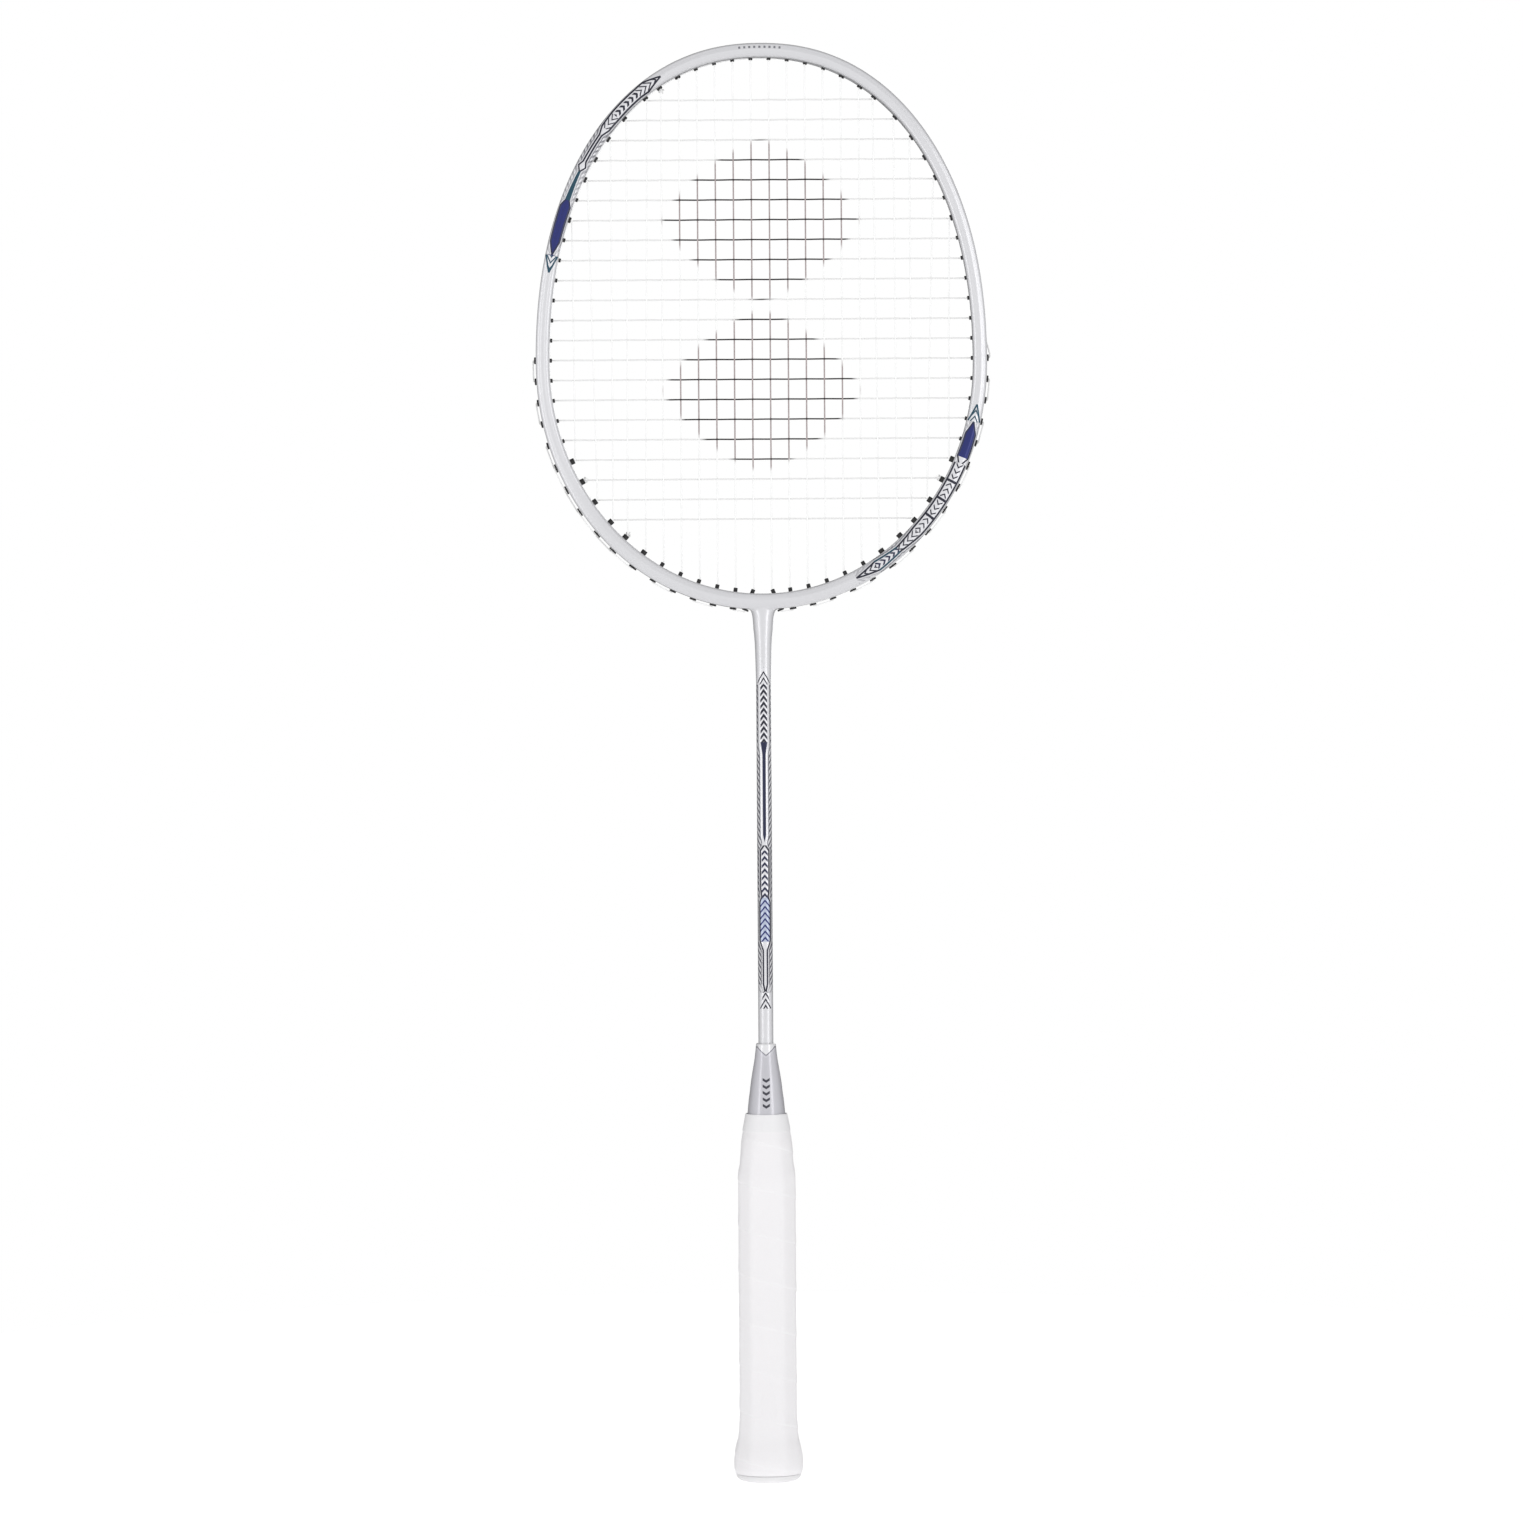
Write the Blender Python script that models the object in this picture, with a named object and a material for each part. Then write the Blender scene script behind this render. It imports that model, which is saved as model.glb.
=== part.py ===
"""Badminton racket: a moulded head and throat, shaft, handle, grommets and two strings.

Run with: blender --background --python part.py

The racket stands upright. +Z runs from the butt of the handle to the top of the head,
X is the width of the head, and the string bed lies in the XZ plane with its front
towards -Y. The origin is the centre of the flat butt end. All lengths are in metres.
"""
import math

import bmesh
import bpy
import numpy as np
from mathutils import Matrix, Vector

MM = 0.001

# ---------------------------------------------------------------- overall sizes
TOTAL_LENGTH = 675 * MM
HEAD_WIDTH = 212 * MM
HEAD_LENGTH = 266 * MM
HEAD_LOWER_HEIGHT = 116 * MM      # from the widest line of the head down to its lowest point
UPPER_ROUNDNESS = 2.18            # exponent of the upper half of the head's outline
LOWER_ROUNDNESS = 2.02            # exponent of the lower half

# ---------------------------------------------------------------- rim section
RIM_DEPTH = 10.5 * MM             # front to back
RIM_WIDTH_UPPER = 6.5 * MM        # in the plane of the strings, over the upper half
RIM_WIDTH_BOTTOM = 7.4 * MM       # in the plane of the strings, at the throat
RIM_CORNER = 1.85 * MM            # how far the rounded corners reach across the depth
RIM_CORNER_DROP = 2.0 * MM        # how far they reach across the width
RIM_STATIONS = 84

# ---------------------------------------------------------------- strings and grommets
STRING_DIAMETER = 0.70 * MM
STRING_CLEARANCE = 0.20 * MM      # between a string and what it passes
MAIN_COUNT = 22
CROSS_COUNT = 22
OUTER_MAIN_SHARE = 0.892          # outermost main, as a share of half the inside width
FIRST_CROSS_DROP = 19.8 * MM      # first cross string, below the inside top of the head
LAST_CROSS_RISE = 35.2 * MM       # last cross string, above the inside bottom
BARREL_WALL = 0.30 * MM
FIT_GAP = 0.30 * MM               # between parts that touch on the real racket
FLANGE_RIM = 0.65 * MM            # how far a flange reaches past its barrel
FLANGE_THICKNESS = 0.60 * MM
STRIP_THICKNESS = 0.80 * MM
STRIP_MARGIN = 0.35 * MM          # strip edge past the widest barrel
STRIP_END = 3.0 * MM              # strip end past its last barrel
GROOVE_LIP = 0.25 * MM            # how far the groove's walls lean outwards
GROOVE_RUN_OUT = 4.2 * MM         # full groove past its last hole
GROOVE_FADE = 2.8 * MM            # length over which the groove rises to the surface
SHORT_BARREL = 1.0 * MM           # barrel past the inside of the rim, top and sides
LONG_BARREL = 2.0 * MM            # the same at the bottom of the head
STRING_BEND = 0.40 * MM           # size of the bend where a string leaves a barrel
STRING_LEAD = 0.50 * MM           # straight string past a barrel's inner end
STRING_RAMP = 1.0 * MM            # over which a string moves into its own plane
TAIL_LENGTH = 1.8 * MM            # string end past the hole where it is tied off

# ---------------------------------------------------------------- throat and shaft
SHAFT_DIAMETER = 7.0 * MM
SHAFT_WALL = 1.0 * MM
THROAT_LENGTH = 35 * MM           # from the head's lowest point to the shaft
SOCKET_DEPTH = 25 * MM            # bore in the throat for the T-joint
T_JOINT_IN_SHAFT = 30 * MM
SHAFT_IN_HANDLE = 87 * MM         # how deep the shaft is glued into the handle

# ---------------------------------------------------------------- handle and grip
GRIP_TOP = 172 * MM
GRIP_WIDTH = 26.8 * MM            # across the side flats
GRIP_DEPTH = 24.0 * MM            # across the front and back flats
GRIP_CHAMFER = 5.8 * MM           # leg of the 45 degree flats
GRIP_EDGE = 1.0 * MM              # rounding of the eight long edges
GRIP_WALL = 1.4 * MM
GRIP_BOTTOM = 3.5 * MM
CONE_LENGTH = 33 * MM             # cone that shows above the grip
CONE_TOP_RIM = 1.1 * MM           # cone wall at its top, around the shaft
NOSE_RADIUS = 6.9 * MM            # round nose of the wooden core, inside the cone
NOSE_TOP_DROP = 4.3 * MM          # nose end below the grip's top
BUTT_CAP_HEIGHT = 26 * MM
BUTT_CAP_FLOOR = 2.5 * MM
BUTT_CAP_SEAT = 1.7 * MM          # step that the core is cut back by inside the cap
BUTT_END_IN_X = 1.6 * MM          # flat end of the cap, inside the grip's half width
BUTT_END_IN_Y = 0.7 * MM
BUTT_LIP_OUT_X = 1.9 * MM         # lip of the cap below the grip, past the grip's half width
BUTT_LIP_OUT_Y = 2.1 * MM
BADGE_RADIUS = 8.0 * MM
BADGE_THICKNESS = 0.8 * MM
FINISHING_TAPE_WIDTH = 8.0 * MM
FINISHING_TAPE_OVERHANG = 1.5 * MM  # tape past the end of the grip, on the cone
GRIP_END_WALL = 0.35 * MM         # thin end of the grip under the tape
FINISHING_TAPE_WALL = 0.30 * MM
TAPE_GAP = 0.20 * MM

# Grip outline at the butt: height above the end, and how far each half size stands out.
BUTT_FLARE = (
    (GRIP_BOTTOM, 2.3 * MM, 2.5 * MM, 0.55),
    (6.0 * MM, 2.8 * MM, 3.0 * MM, 0.55),
    (9.0 * MM, 2.8 * MM, 3.0 * MM, 0.55),
    (13.0 * MM, 2.35 * MM, 2.5 * MM, 0.45),
    (16.7 * MM, 1.6 * MM, 1.7 * MM, 0.35),
    (20.0 * MM, 0.8 * MM, 0.9 * MM, 0.25),
    (26.0 * MM, 0.25 * MM, 0.3 * MM, 0.08),
    (30.0 * MM, 0.0, 0.0, 0.0),
)
# Grip outline at the shoulder: drop below the grip's top, inset of each half size, roundness.
SHOULDER = (
    (31.0 * MM, 0.0, 0.0, 0.0),
    (27.5 * MM, 0.15 * MM, 0.15 * MM, 0.1),
    (24.0 * MM, 0.7 * MM, 0.5 * MM, 0.25),
    (18.0 * MM, 1.2 * MM, 0.6 * MM, 0.5),
    (12.0 * MM, 1.65 * MM, 0.8 * MM, 0.75),
    (9.0 * MM, 2.15 * MM, 1.0 * MM, 0.95),
)
# Cone outline above the grip: height above the grip's top, radius past the shaft.
CONE_OUTLINE = (
    (-8.0 * MM, 5.80 * MM),
    (-1.5 * MM, 5.45 * MM),
    (0.0, 5.35 * MM),
    (6.0 * MM, 4.80 * MM),
    (10.0 * MM, 4.25 * MM),
    (14.0 * MM, 3.80 * MM),
    (18.0 * MM, 3.20 * MM),
    (21.5 * MM, 2.60 * MM),
    (25.0 * MM, 2.00 * MM),
    (29.0 * MM, 1.50 * MM),
)
# Throat outline: share of the throat's length above the shaft, width past the shaft's radius.
THROAT_OUTLINE = (
    (0.0, 0.0),
    (0.32, 0.25 * MM),
    (0.54, 0.50 * MM),
    (0.66, 0.80 * MM),
    (0.76, 1.20 * MM),
    (0.87, 1.45 * MM),
    (0.95, 1.85 * MM),
    (1.01, 2.75 * MM),
    (1.10, 4.50 * MM),
)
THROAT_TOP_HALF_DEPTH = 4.6 * MM

# ---------------------------------------------------------------- values worked out
HALF_WIDTH = HEAD_WIDTH / 2
HEAD_BOTTOM = TOTAL_LENGTH - HEAD_LENGTH
WIDEST_Z = HEAD_BOTTOM + HEAD_LOWER_HEIGHT
SHAFT_RADIUS = SHAFT_DIAMETER / 2
SHAFT_BORE = SHAFT_RADIUS - SHAFT_WALL
SHAFT_TOP = HEAD_BOTTOM - THROAT_LENGTH
STRING_RADIUS = STRING_DIAMETER / 2
PLANE_OFFSET = STRING_RADIUS + STRING_CLEARANCE * 0.75
NARROW_BORE = STRING_RADIUS + STRING_CLEARANCE * 1.5
WIDE_BORE = PLANE_OFFSET + STRING_RADIUS + STRING_CLEARANCE * 1.25
NARROW_BARREL = NARROW_BORE + BARREL_WALL
WIDE_BARREL = WIDE_BORE + BARREL_WALL
STRIP_HALF = WIDE_BARREL + STRIP_MARGIN
GROOVE_HALF = STRIP_HALF + FIT_GAP
STRING_STEP = STRING_RADIUS + STRING_CLEARANCE
GROOVE_DEPTH = STRIP_THICKNESS + FIT_GAP + STRING_STEP + STRING_RADIUS + 0.1 * MM
STRIP_FACE = GROOVE_DEPTH - FIT_GAP - STRIP_THICKNESS
FLANGE_FACE = -(FIT_GAP + FLANGE_THICKNESS)
GRIP_HALF_X = GRIP_WIDTH / 2
GRIP_HALF_Y = GRIP_DEPTH / 2
UNDER_GRIP = GRIP_WALL + FIT_GAP
CHAMFER_SHRINK = 2 - math.sqrt(2)


# ---------------------------------------------------------------- scene helpers
def clear_scene():
    """Remove what the scene holds, without closing the file this runs from."""
    for item in list(bpy.data.objects):
        bpy.data.objects.remove(item, do_unlink=True)


def new_collection(name):
    """Make a collection in the scene."""
    collection = bpy.data.collections.new(name)
    bpy.context.scene.collection.children.link(collection)
    return collection


def material(name, color, roughness, metallic=0.0):
    """A plain Principled material."""
    made = bpy.data.materials.new(name)
    made.use_nodes = True
    shader = made.node_tree.nodes["Principled BSDF"]
    shader.inputs["Base Color"].default_value = (*color, 1.0)
    shader.inputs["Roughness"].default_value = roughness
    shader.inputs["Metallic"].default_value = metallic
    made.diffuse_color = (*color, 1.0)
    return made


def add_part(name, data, finish=None):
    """Put a mesh or curve in the racket as a named sub-part."""
    made = bpy.data.objects.new(name, data)
    racket.objects.link(made)
    made.parent = origin
    if finish is not None:
        data.materials.append(finish)
    return made


def add_cutter(name, data):
    """Put a shape among the cutters, where it is not drawn or built."""
    made = bpy.data.objects.new(name, data)
    cutters.objects.link(made)
    made.hide_render = True
    made.display_type = "WIRE"
    return made


def combine(target, other, operation):
    """Join or cut target with other."""
    step = target.modifiers.new(f"{operation.lower()}_{other.name}", "BOOLEAN")
    step.operation = operation
    step.object = other
    step.solver = "EXACT"


def mesh_of(name, form):
    """Turn a bmesh into a mesh whose faces point out."""
    bmesh.ops.remove_doubles(form, verts=form.verts, dist=1e-7)
    bmesh.ops.recalc_face_normals(form, faces=form.faces)
    mesh = bpy.data.meshes.new(name)
    form.to_mesh(mesh)
    form.free()
    return mesh


def smooth(mesh, angle=35):
    """Shade round parts smooth and keep their edges."""
    mesh.shade_smooth()
    mesh.set_sharp_from_angle(angle=math.radians(angle))


def loft(name, rings, closed=False):
    """Skin rings of equal count; a closed loft joins the last ring to the first."""
    form = bmesh.new()
    loops = [[form.verts.new(point) for point in ring] for ring in rings]
    count = len(rings[0])
    pairs = list(zip(loops, loops[1:]))
    if closed:
        pairs.append((loops[-1], loops[0]))
    for low, high in pairs:
        for here in range(count):
            after = (here + 1) % count
            form.faces.new((low[here], low[after], high[after], high[here]))
    if not closed:
        form.faces.new(loops[0])
        form.faces.new(loops[-1])
    return mesh_of(name, form)


def turned(name, profile, steps, closed=True):
    """Turn a profile of (radius, height) points about the Z axis."""
    form = bmesh.new()
    points = [form.verts.new((radius, 0.0, height)) for radius, height in profile]
    links = list(zip(points, points[1:]))
    if closed:
        links.append((points[-1], points[0]))
    edges = [form.edges.new(link) for link in links]
    bmesh.ops.spin(
        form, geom=points + edges, cent=(0, 0, 0), axis=(0, 0, 1),
        angle=math.tau, steps=steps, use_merge=True, use_duplicate=False,
    )
    return mesh_of(name, form)


def cylinder_between(form, start, end, radius, sides):
    """Add a capped cylinder from start to end to a bmesh."""
    axis = end - start
    turn = axis.to_track_quat("Z", "Y").to_matrix().to_4x4()
    place = Matrix.Translation((start + end) / 2) @ turn
    bmesh.ops.create_cone(
        form, cap_ends=True, segments=sides, radius1=radius, radius2=radius,
        depth=axis.length, matrix=place,
    )


# ---------------------------------------------------------------- outline of the head
class Rim:
    """Outer outline of the head's right half, measured by its length from the top."""

    def __init__(self):
        turn = np.linspace(0, math.pi / 2, 1601)
        upper = 2 / UPPER_ROUNDNESS
        lower = 2 / LOWER_ROUNDNESS
        upper_height = TOTAL_LENGTH - WIDEST_Z
        upper_x = HALF_WIDTH * np.sin(turn) ** upper
        upper_z = WIDEST_Z + upper_height * np.cos(turn) ** upper
        lower_x = HALF_WIDTH * np.cos(turn) ** lower
        lower_z = WIDEST_Z - HEAD_LOWER_HEIGHT * np.sin(turn) ** lower
        self.x = np.concatenate((upper_x, lower_x[1:]))
        self.z = np.concatenate((upper_z, lower_z[1:]))
        steps = np.hypot(np.diff(self.x), np.diff(self.z))
        self.s = np.concatenate(([0.0], np.cumsum(steps)))
        along_x = np.gradient(self.x, self.s)
        along_z = np.gradient(self.z, self.s)
        size = np.hypot(along_x, along_z)
        self.tangent_x = along_x / size
        self.tangent_z = along_z / size
        self.tangent_z[0] = 0.0
        self.tangent_z[-1] = 0.0
        below = np.clip((WIDEST_Z - self.z) / HEAD_LOWER_HEIGHT, 0, 1)
        grow = below * below * (3 - 2 * below)
        self.width = RIM_WIDTH_UPPER + (RIM_WIDTH_BOTTOM - RIM_WIDTH_UPPER) * grow
        self.length = self.s[-1]
        self.widest = self.s[1600]

    def value(self, table, s):
        return float(np.interp(s, self.s, table))

    def tangent(self, s, side):
        return Vector((
            side * self.value(self.tangent_x, s), 0.0, self.value(self.tangent_z, s),
        ))

    def inward(self, s, side):
        return Vector((
            side * self.value(self.tangent_z, s), 0.0, -self.value(self.tangent_x, s),
        ))

    def point(self, s, side, depth=0.0, y=0.0):
        """A point at a depth below the outer surface."""
        surface = Vector((side * self.value(self.x, s), y, self.value(self.z, s)))
        return surface + depth * self.inward(s, side)

    def where(self, axis, target, reach, upper):
        """Length at which a point `reach` inside the rim has the target X or Z."""
        depth = self.width + reach
        across = self.x + depth * self.tangent_z
        height = self.z - depth * self.tangent_x
        table = across if axis == "x" else height
        if axis == "x" and upper:
            keep = self.s <= self.widest
        elif axis == "x":
            keep = self.s >= self.widest
        else:
            keep = np.ones_like(self.s, dtype=bool)
        table = table[keep]
        places = self.s[keep]
        if table[-1] < table[0]:
            table = table[::-1]
            places = places[::-1]
        return float(np.interp(target, table, places))


# ---------------------------------------------------------------- the string holes
class Hole:
    """One drilled hole of the rim, with its barrel and the strings that pass it."""

    def __init__(self, name, side, s, wide, barrel_end, on_strip, slant=0.0):
        self.name = name
        self.side = side
        self.s = s
        self.wide = wide
        self.on_strip = on_strip
        self.slant = slant
        self.inner_end = rim.value(rim.width, s) + barrel_end
        self.bore = WIDE_BORE if wide else NARROW_BORE
        self.barrel = WIDE_BARREL if wide else NARROW_BARREL
        self.face = STRIP_FACE if on_strip else FLANGE_FACE
        self.run_depth = self.face - STRING_STEP

    def point(self, depth, y=0.0, along=0.0):
        """A point at a depth in the hole, moved along the rim by `along`.

        Outside the barrel's face the strings run straight, so the slant ends there.
        """
        slide = along + self.slant * max(depth, self.face)
        tangent = rim.tangent(self.s, self.side)
        return rim.point(self.s, self.side, depth, y) + slide * tangent

    def axis(self, depth):
        """A point at a depth on the hole's axis."""
        tangent = rim.tangent(self.s, self.side)
        return rim.point(self.s, self.side, depth) + self.slant * depth * tangent

    def matrix(self):
        """Local X along the rim, local Z into the head, with the hole's slant."""
        tangent = rim.tangent(self.s, self.side)
        inward = rim.inward(self.s, self.side)
        cross = Vector((0.0, -self.side, 0.0))
        turn = Matrix((tangent, cross, inward)).transposed().to_4x4()
        return Matrix.Translation(rim.point(self.s, self.side)) @ turn

    def string_y(self, plane):
        """Strings share a wide hole side by side and use the middle of a narrow one."""
        return plane * PLANE_OFFSET if self.wide else 0.0


def string_pattern():
    """X of each main and Z of each cross, from the inside of the head."""
    inside_half = HALF_WIDTH - RIM_WIDTH_UPPER
    mains_per_side = MAIN_COUNT // 2
    pitch = OUTER_MAIN_SHARE * inside_half / (mains_per_side - 0.5)
    mains = [(order + 0.5) * pitch for order in range(mains_per_side)]
    top = TOTAL_LENGTH - RIM_WIDTH_UPPER - FIRST_CROSS_DROP
    bottom = HEAD_BOTTOM + RIM_WIDTH_BOTTOM + LAST_CROSS_RISE
    crosses = list(np.linspace(top, bottom, CROSS_COUNT))
    return mains, crosses


# Mains that share the hole of a cross string, at the top and at the bottom.
TOP_SHARED = {7: 1, 8: 2, 9: 3, 10: 5, 11: 7}
BOTTOM_SHARED = {9: 22, 10: 21, 11: 19}
TOP_MAINS_WIDE = (5, 6)
BOTTOM_MAINS_WIDE = (7, 8)
CROSSES_WIDE = (1, 2, 3, 4, 5, 7, 19, 20, 21, 22)
LONG_CROSSES = (19, 20, 21, 22)
LAST_GROOVE_CROSS = 13


def drill_plan(side):
    """All holes of one side, by the string that sets their place."""
    mains, crosses = string_pattern()
    word = "right" if side > 0 else "left"
    holes = {}
    for number in range(1, CROSS_COUNT + 1):
        reach = LONG_BARREL if number in LONG_CROSSES else SHORT_BARREL
        s = rim.where("z", crosses[number - 1], reach + STRING_LEAD, True)
        holes["cross", number] = Hole(
            f"grommet_cross_{number:02d}_{word}", side, s, number in CROSSES_WIDE,
            reach, number <= LAST_GROOVE_CROSS,
        )
    for number in range(1, MAIN_COUNT // 2 + 1):
        x = mains[number - 1]
        if number in TOP_SHARED:
            holes["top", number] = holes["cross", TOP_SHARED[number]]
        else:
            s = rim.where("x", x, SHORT_BARREL + STRING_LEAD, True)
            holes["top", number] = Hole(
                f"grommet_top_{number:02d}_{word}", side, s, number in TOP_MAINS_WIDE,
                SHORT_BARREL, True,
            )
        if number in BOTTOM_SHARED:
            holes["bottom", number] = holes["cross", BOTTOM_SHARED[number]]
        elif number == 1:
            holes["bottom", number] = slanted_hole(side, x, f"grommet_main_01_{word}")
        else:
            s = rim.where("x", x, LONG_BARREL + STRING_LEAD, False)
            holes["bottom", number] = Hole(
                f"grommet_main_{number:02d}_{word}", side, s,
                number in BOTTOM_MAINS_WIDE, LONG_BARREL, False,
            )
    return holes


def slanted_hole(side, x, name):
    """The innermost bottom hole leans outwards, so that its flange clears the throat."""
    throat_half = SHAFT_RADIUS + THROAT_OUTLINE[-2][1]
    outer_x = throat_half + NARROW_BARREL + FLANGE_RIM + FIT_GAP
    s = rim.where("x", outer_x, -RIM_WIDTH_BOTTOM, False)
    depth = rim.value(rim.width, s) + LONG_BARREL + STRING_LEAD
    straight = rim.point(s, 1, depth).x
    slant = (x - straight) / (rim.value(rim.tangent_x, s) * depth)
    return Hole(name, side, s, False, LONG_BARREL, False, slant)


def unique_holes(holes):
    """Each hole of a side once, in order around the rim."""
    found = {hole.name: hole for hole in holes.values()}
    return sorted(found.values(), key=lambda hole: hole.s)


# ---------------------------------------------------------------- head and throat
def rim_section(s, groove):
    """Sixteen (depth, y) points of the rim's rounded box, with a groove in its outside."""
    width = rim.value(rim.width, s)
    half = RIM_DEPTH / 2
    shoulder = half - RIM_CORNER
    mid_drop = RIM_CORNER_DROP * 0.4
    mid_half = half - RIM_CORNER * 0.3
    one_side = [
        (groove, GROOVE_HALF),
        (0.0, GROOVE_HALF + GROOVE_LIP),
        (0.0, shoulder),
        (mid_drop, mid_half),
        (RIM_CORNER_DROP, half),
        (width - RIM_CORNER_DROP, half),
        (width - mid_drop, mid_half),
        (width, shoulder),
    ]
    other_side = [(depth, -y) for depth, y in reversed(one_side)]
    return one_side + other_side


def rim_stations(groove_end):
    """Places around one half of the rim, with a pair where the groove ends."""
    even = np.linspace(0, rim.length, RIM_STATIONS // 2 + 1)
    marks = [groove_end, groove_end + GROOVE_FADE]
    clear = [s for s in even if all(abs(s - mark) > 2 * MM for mark in marks)]
    return sorted(clear + marks)


def build_head():
    """One moulded piece: the rim, with its groove and holes, and the throat below it."""
    groove_end = right["cross", LAST_GROOVE_CROSS].s + GROOVE_RUN_OUT
    half_turn = rim_stations(groove_end)
    places = [(s, 1) for s in half_turn]
    places += [(s, -1) for s in reversed(half_turn[1:-1])]
    rings = []
    for s, side in places:
        groove = GROOVE_DEPTH if s <= groove_end else 0.0
        section = rim_section(s, groove)
        rings.append([rim.point(s, side, depth, y) for depth, y in section])
    head = add_part("head_frame", loft("head_frame", rings, closed=True), pearl)
    combine(head, add_cutter("throat", throat_mesh()), "UNION")
    combine(head, add_cutter("string_holes", holes_mesh()), "DIFFERENCE")
    socket = bmesh.new()
    start = Vector((0, 0, SHAFT_TOP - 2 * MM))
    end = Vector((0, 0, SHAFT_TOP + SOCKET_DEPTH))
    cylinder_between(socket, start, end, SHAFT_BORE, 16)
    combine(head, add_cutter("t_joint_socket", mesh_of("t_joint_socket", socket)), "DIFFERENCE")


def throat_mesh():
    """Loft from the round end at the shaft to a wide foot inside the rim."""
    rings = []
    for share, extra in THROAT_OUTLINE:
        half_x = SHAFT_RADIUS + extra
        rise = min(share, 1.0)
        ease = rise * rise * (3 - 2 * rise)
        half_y = SHAFT_RADIUS + (THROAT_TOP_HALF_DEPTH - SHAFT_RADIUS) * ease
        z = SHAFT_TOP + share * THROAT_LENGTH
        rings.append(round_ring(z, half_x, half_y, 20))
    return loft("throat", rings)


def round_ring(z, half_x, half_y, count):
    """An ellipse at a height."""
    turns = [math.tau * (step + 0.5) / count for step in range(count)]
    return [Vector((half_x * math.cos(t), half_y * math.sin(t), z)) for t in turns]


def holes_mesh():
    """Every string hole as one set of cutters."""
    form = bmesh.new()
    for hole in all_holes:
        radius = (hole.barrel + FIT_GAP) / math.cos(math.pi / 8)
        start = hole.axis(-3 * MM)
        end = hole.axis(hole.inner_end + 1 * MM)
        cylinder_between(form, start, end, radius, 8)
    return mesh_of("string_holes", form)


# ---------------------------------------------------------------- grommets
def grommet_profile(hole):
    """Barrel with a flange on the outside of the rim, and a bore for the string."""
    flange = hole.barrel + FLANGE_RIM
    return [
        (hole.bore, hole.inner_end),
        (hole.bore, FLANGE_FACE),
        (flange, FLANGE_FACE),
        (flange, -FIT_GAP),
        (hole.barrel, -FIT_GAP),
        (hole.barrel, hole.inner_end),
    ]


def build_grommet(hole):
    """One loose grommet of the lower half of the head."""
    mesh = turned(hole.name, grommet_profile(hole), 8)
    if hole.slant:
        mesh.transform(Matrix.Shear("XY", 4, (hole.slant, 0.0)))
    made = add_part(hole.name, mesh, black)
    made.matrix_world = hole.matrix()


def build_strip(name, holes, spread):
    """A band in the rim's groove that carries a row of barrels."""
    rings = []
    for s, side in spread:
        corners = (
            (STRIP_FACE, -STRIP_HALF), (STRIP_FACE, STRIP_HALF),
            (STRIP_FACE + STRIP_THICKNESS, STRIP_HALF),
            (STRIP_FACE + STRIP_THICKNESS, -STRIP_HALF),
        )
        rings.append([rim.point(s, side, depth, y) for depth, y in corners])
    strip = add_part(name, loft(name, rings), black)
    barrels = bmesh.new()
    bores = bmesh.new()
    middle = STRIP_FACE + STRIP_THICKNESS / 2
    for hole in holes:
        tip = hole.point(hole.inner_end)
        cylinder_between(barrels, hole.point(middle), tip, hole.barrel, 8)
        cylinder_between(
            bores, hole.point(STRIP_FACE - 1 * MM), hole.point(hole.inner_end + 1 * MM),
            hole.bore, 8,
        )
    combine(strip, add_cutter(f"{name}_barrels", mesh_of(f"{name}_barrels", barrels)), "UNION")
    combine(strip, add_cutter(f"{name}_bores", mesh_of(f"{name}_bores", bores)), "DIFFERENCE")


def spread_between(start, end, side):
    """Stations along one side of the rim, about 8 mm apart."""
    count = max(2, math.ceil((end - start) / (8 * MM)) + 1)
    return [(float(s), side) for s in np.linspace(start, end, count)]


def build_grommets():
    """Five strips in the groove and a loose grommet in every hole below it."""
    for side, holes, word in ((1, right, "right"), (-1, left, "left")):
        shoulder = [holes["cross", number] for number in range(1, 6)]
        flank = [holes["cross", number] for number in range(6, LAST_GROOVE_CROSS + 1)]
        for label, group in (("shoulder", shoulder), ("side", flank)):
            start = group[0].s - STRIP_END
            end = group[-1].s + STRIP_END
            build_strip(f"grommet_strip_{label}_{word}", group, spread_between(start, end, side))
        for hole in unique_holes(holes):
            if not hole.on_strip:
                build_grommet(hole)
    top = [holes["top", number] for holes in (left, right) for number in range(1, 7)]
    end = right["top", 6].s + STRIP_END
    half = spread_between(0.0, end, 1)
    spread = [(s, -1) for s, _ in reversed(half[1:])] + half
    build_strip("grommet_strip_top", top, spread)


# ---------------------------------------------------------------- strings
def corner(hole, y, toward):
    """Two points that take a string from a barrel's axis to the outside of the rim."""
    direction = 1 if toward > hole.s else -1
    return [
        hole.point(hole.run_depth + STRING_BEND, y),
        hole.point(hole.run_depth, y, direction * STRING_BEND),
    ]


def outside_run(first, second, plane):
    """The stretch of string outside the rim, from one hole to the next."""
    y_first = first.string_y(plane)
    y_second = second.string_y(plane)
    over_the_top = first.side != second.side
    toward_first = 0.0 if over_the_top else second.s
    toward_second = 0.0 if over_the_top else first.s
    points = corner(first, y_first, toward_first)
    if not over_the_top:
        points += middle_of_run(first, second, y_first, y_second, plane)
    return points + list(reversed(corner(second, y_second, toward_second)))


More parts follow.
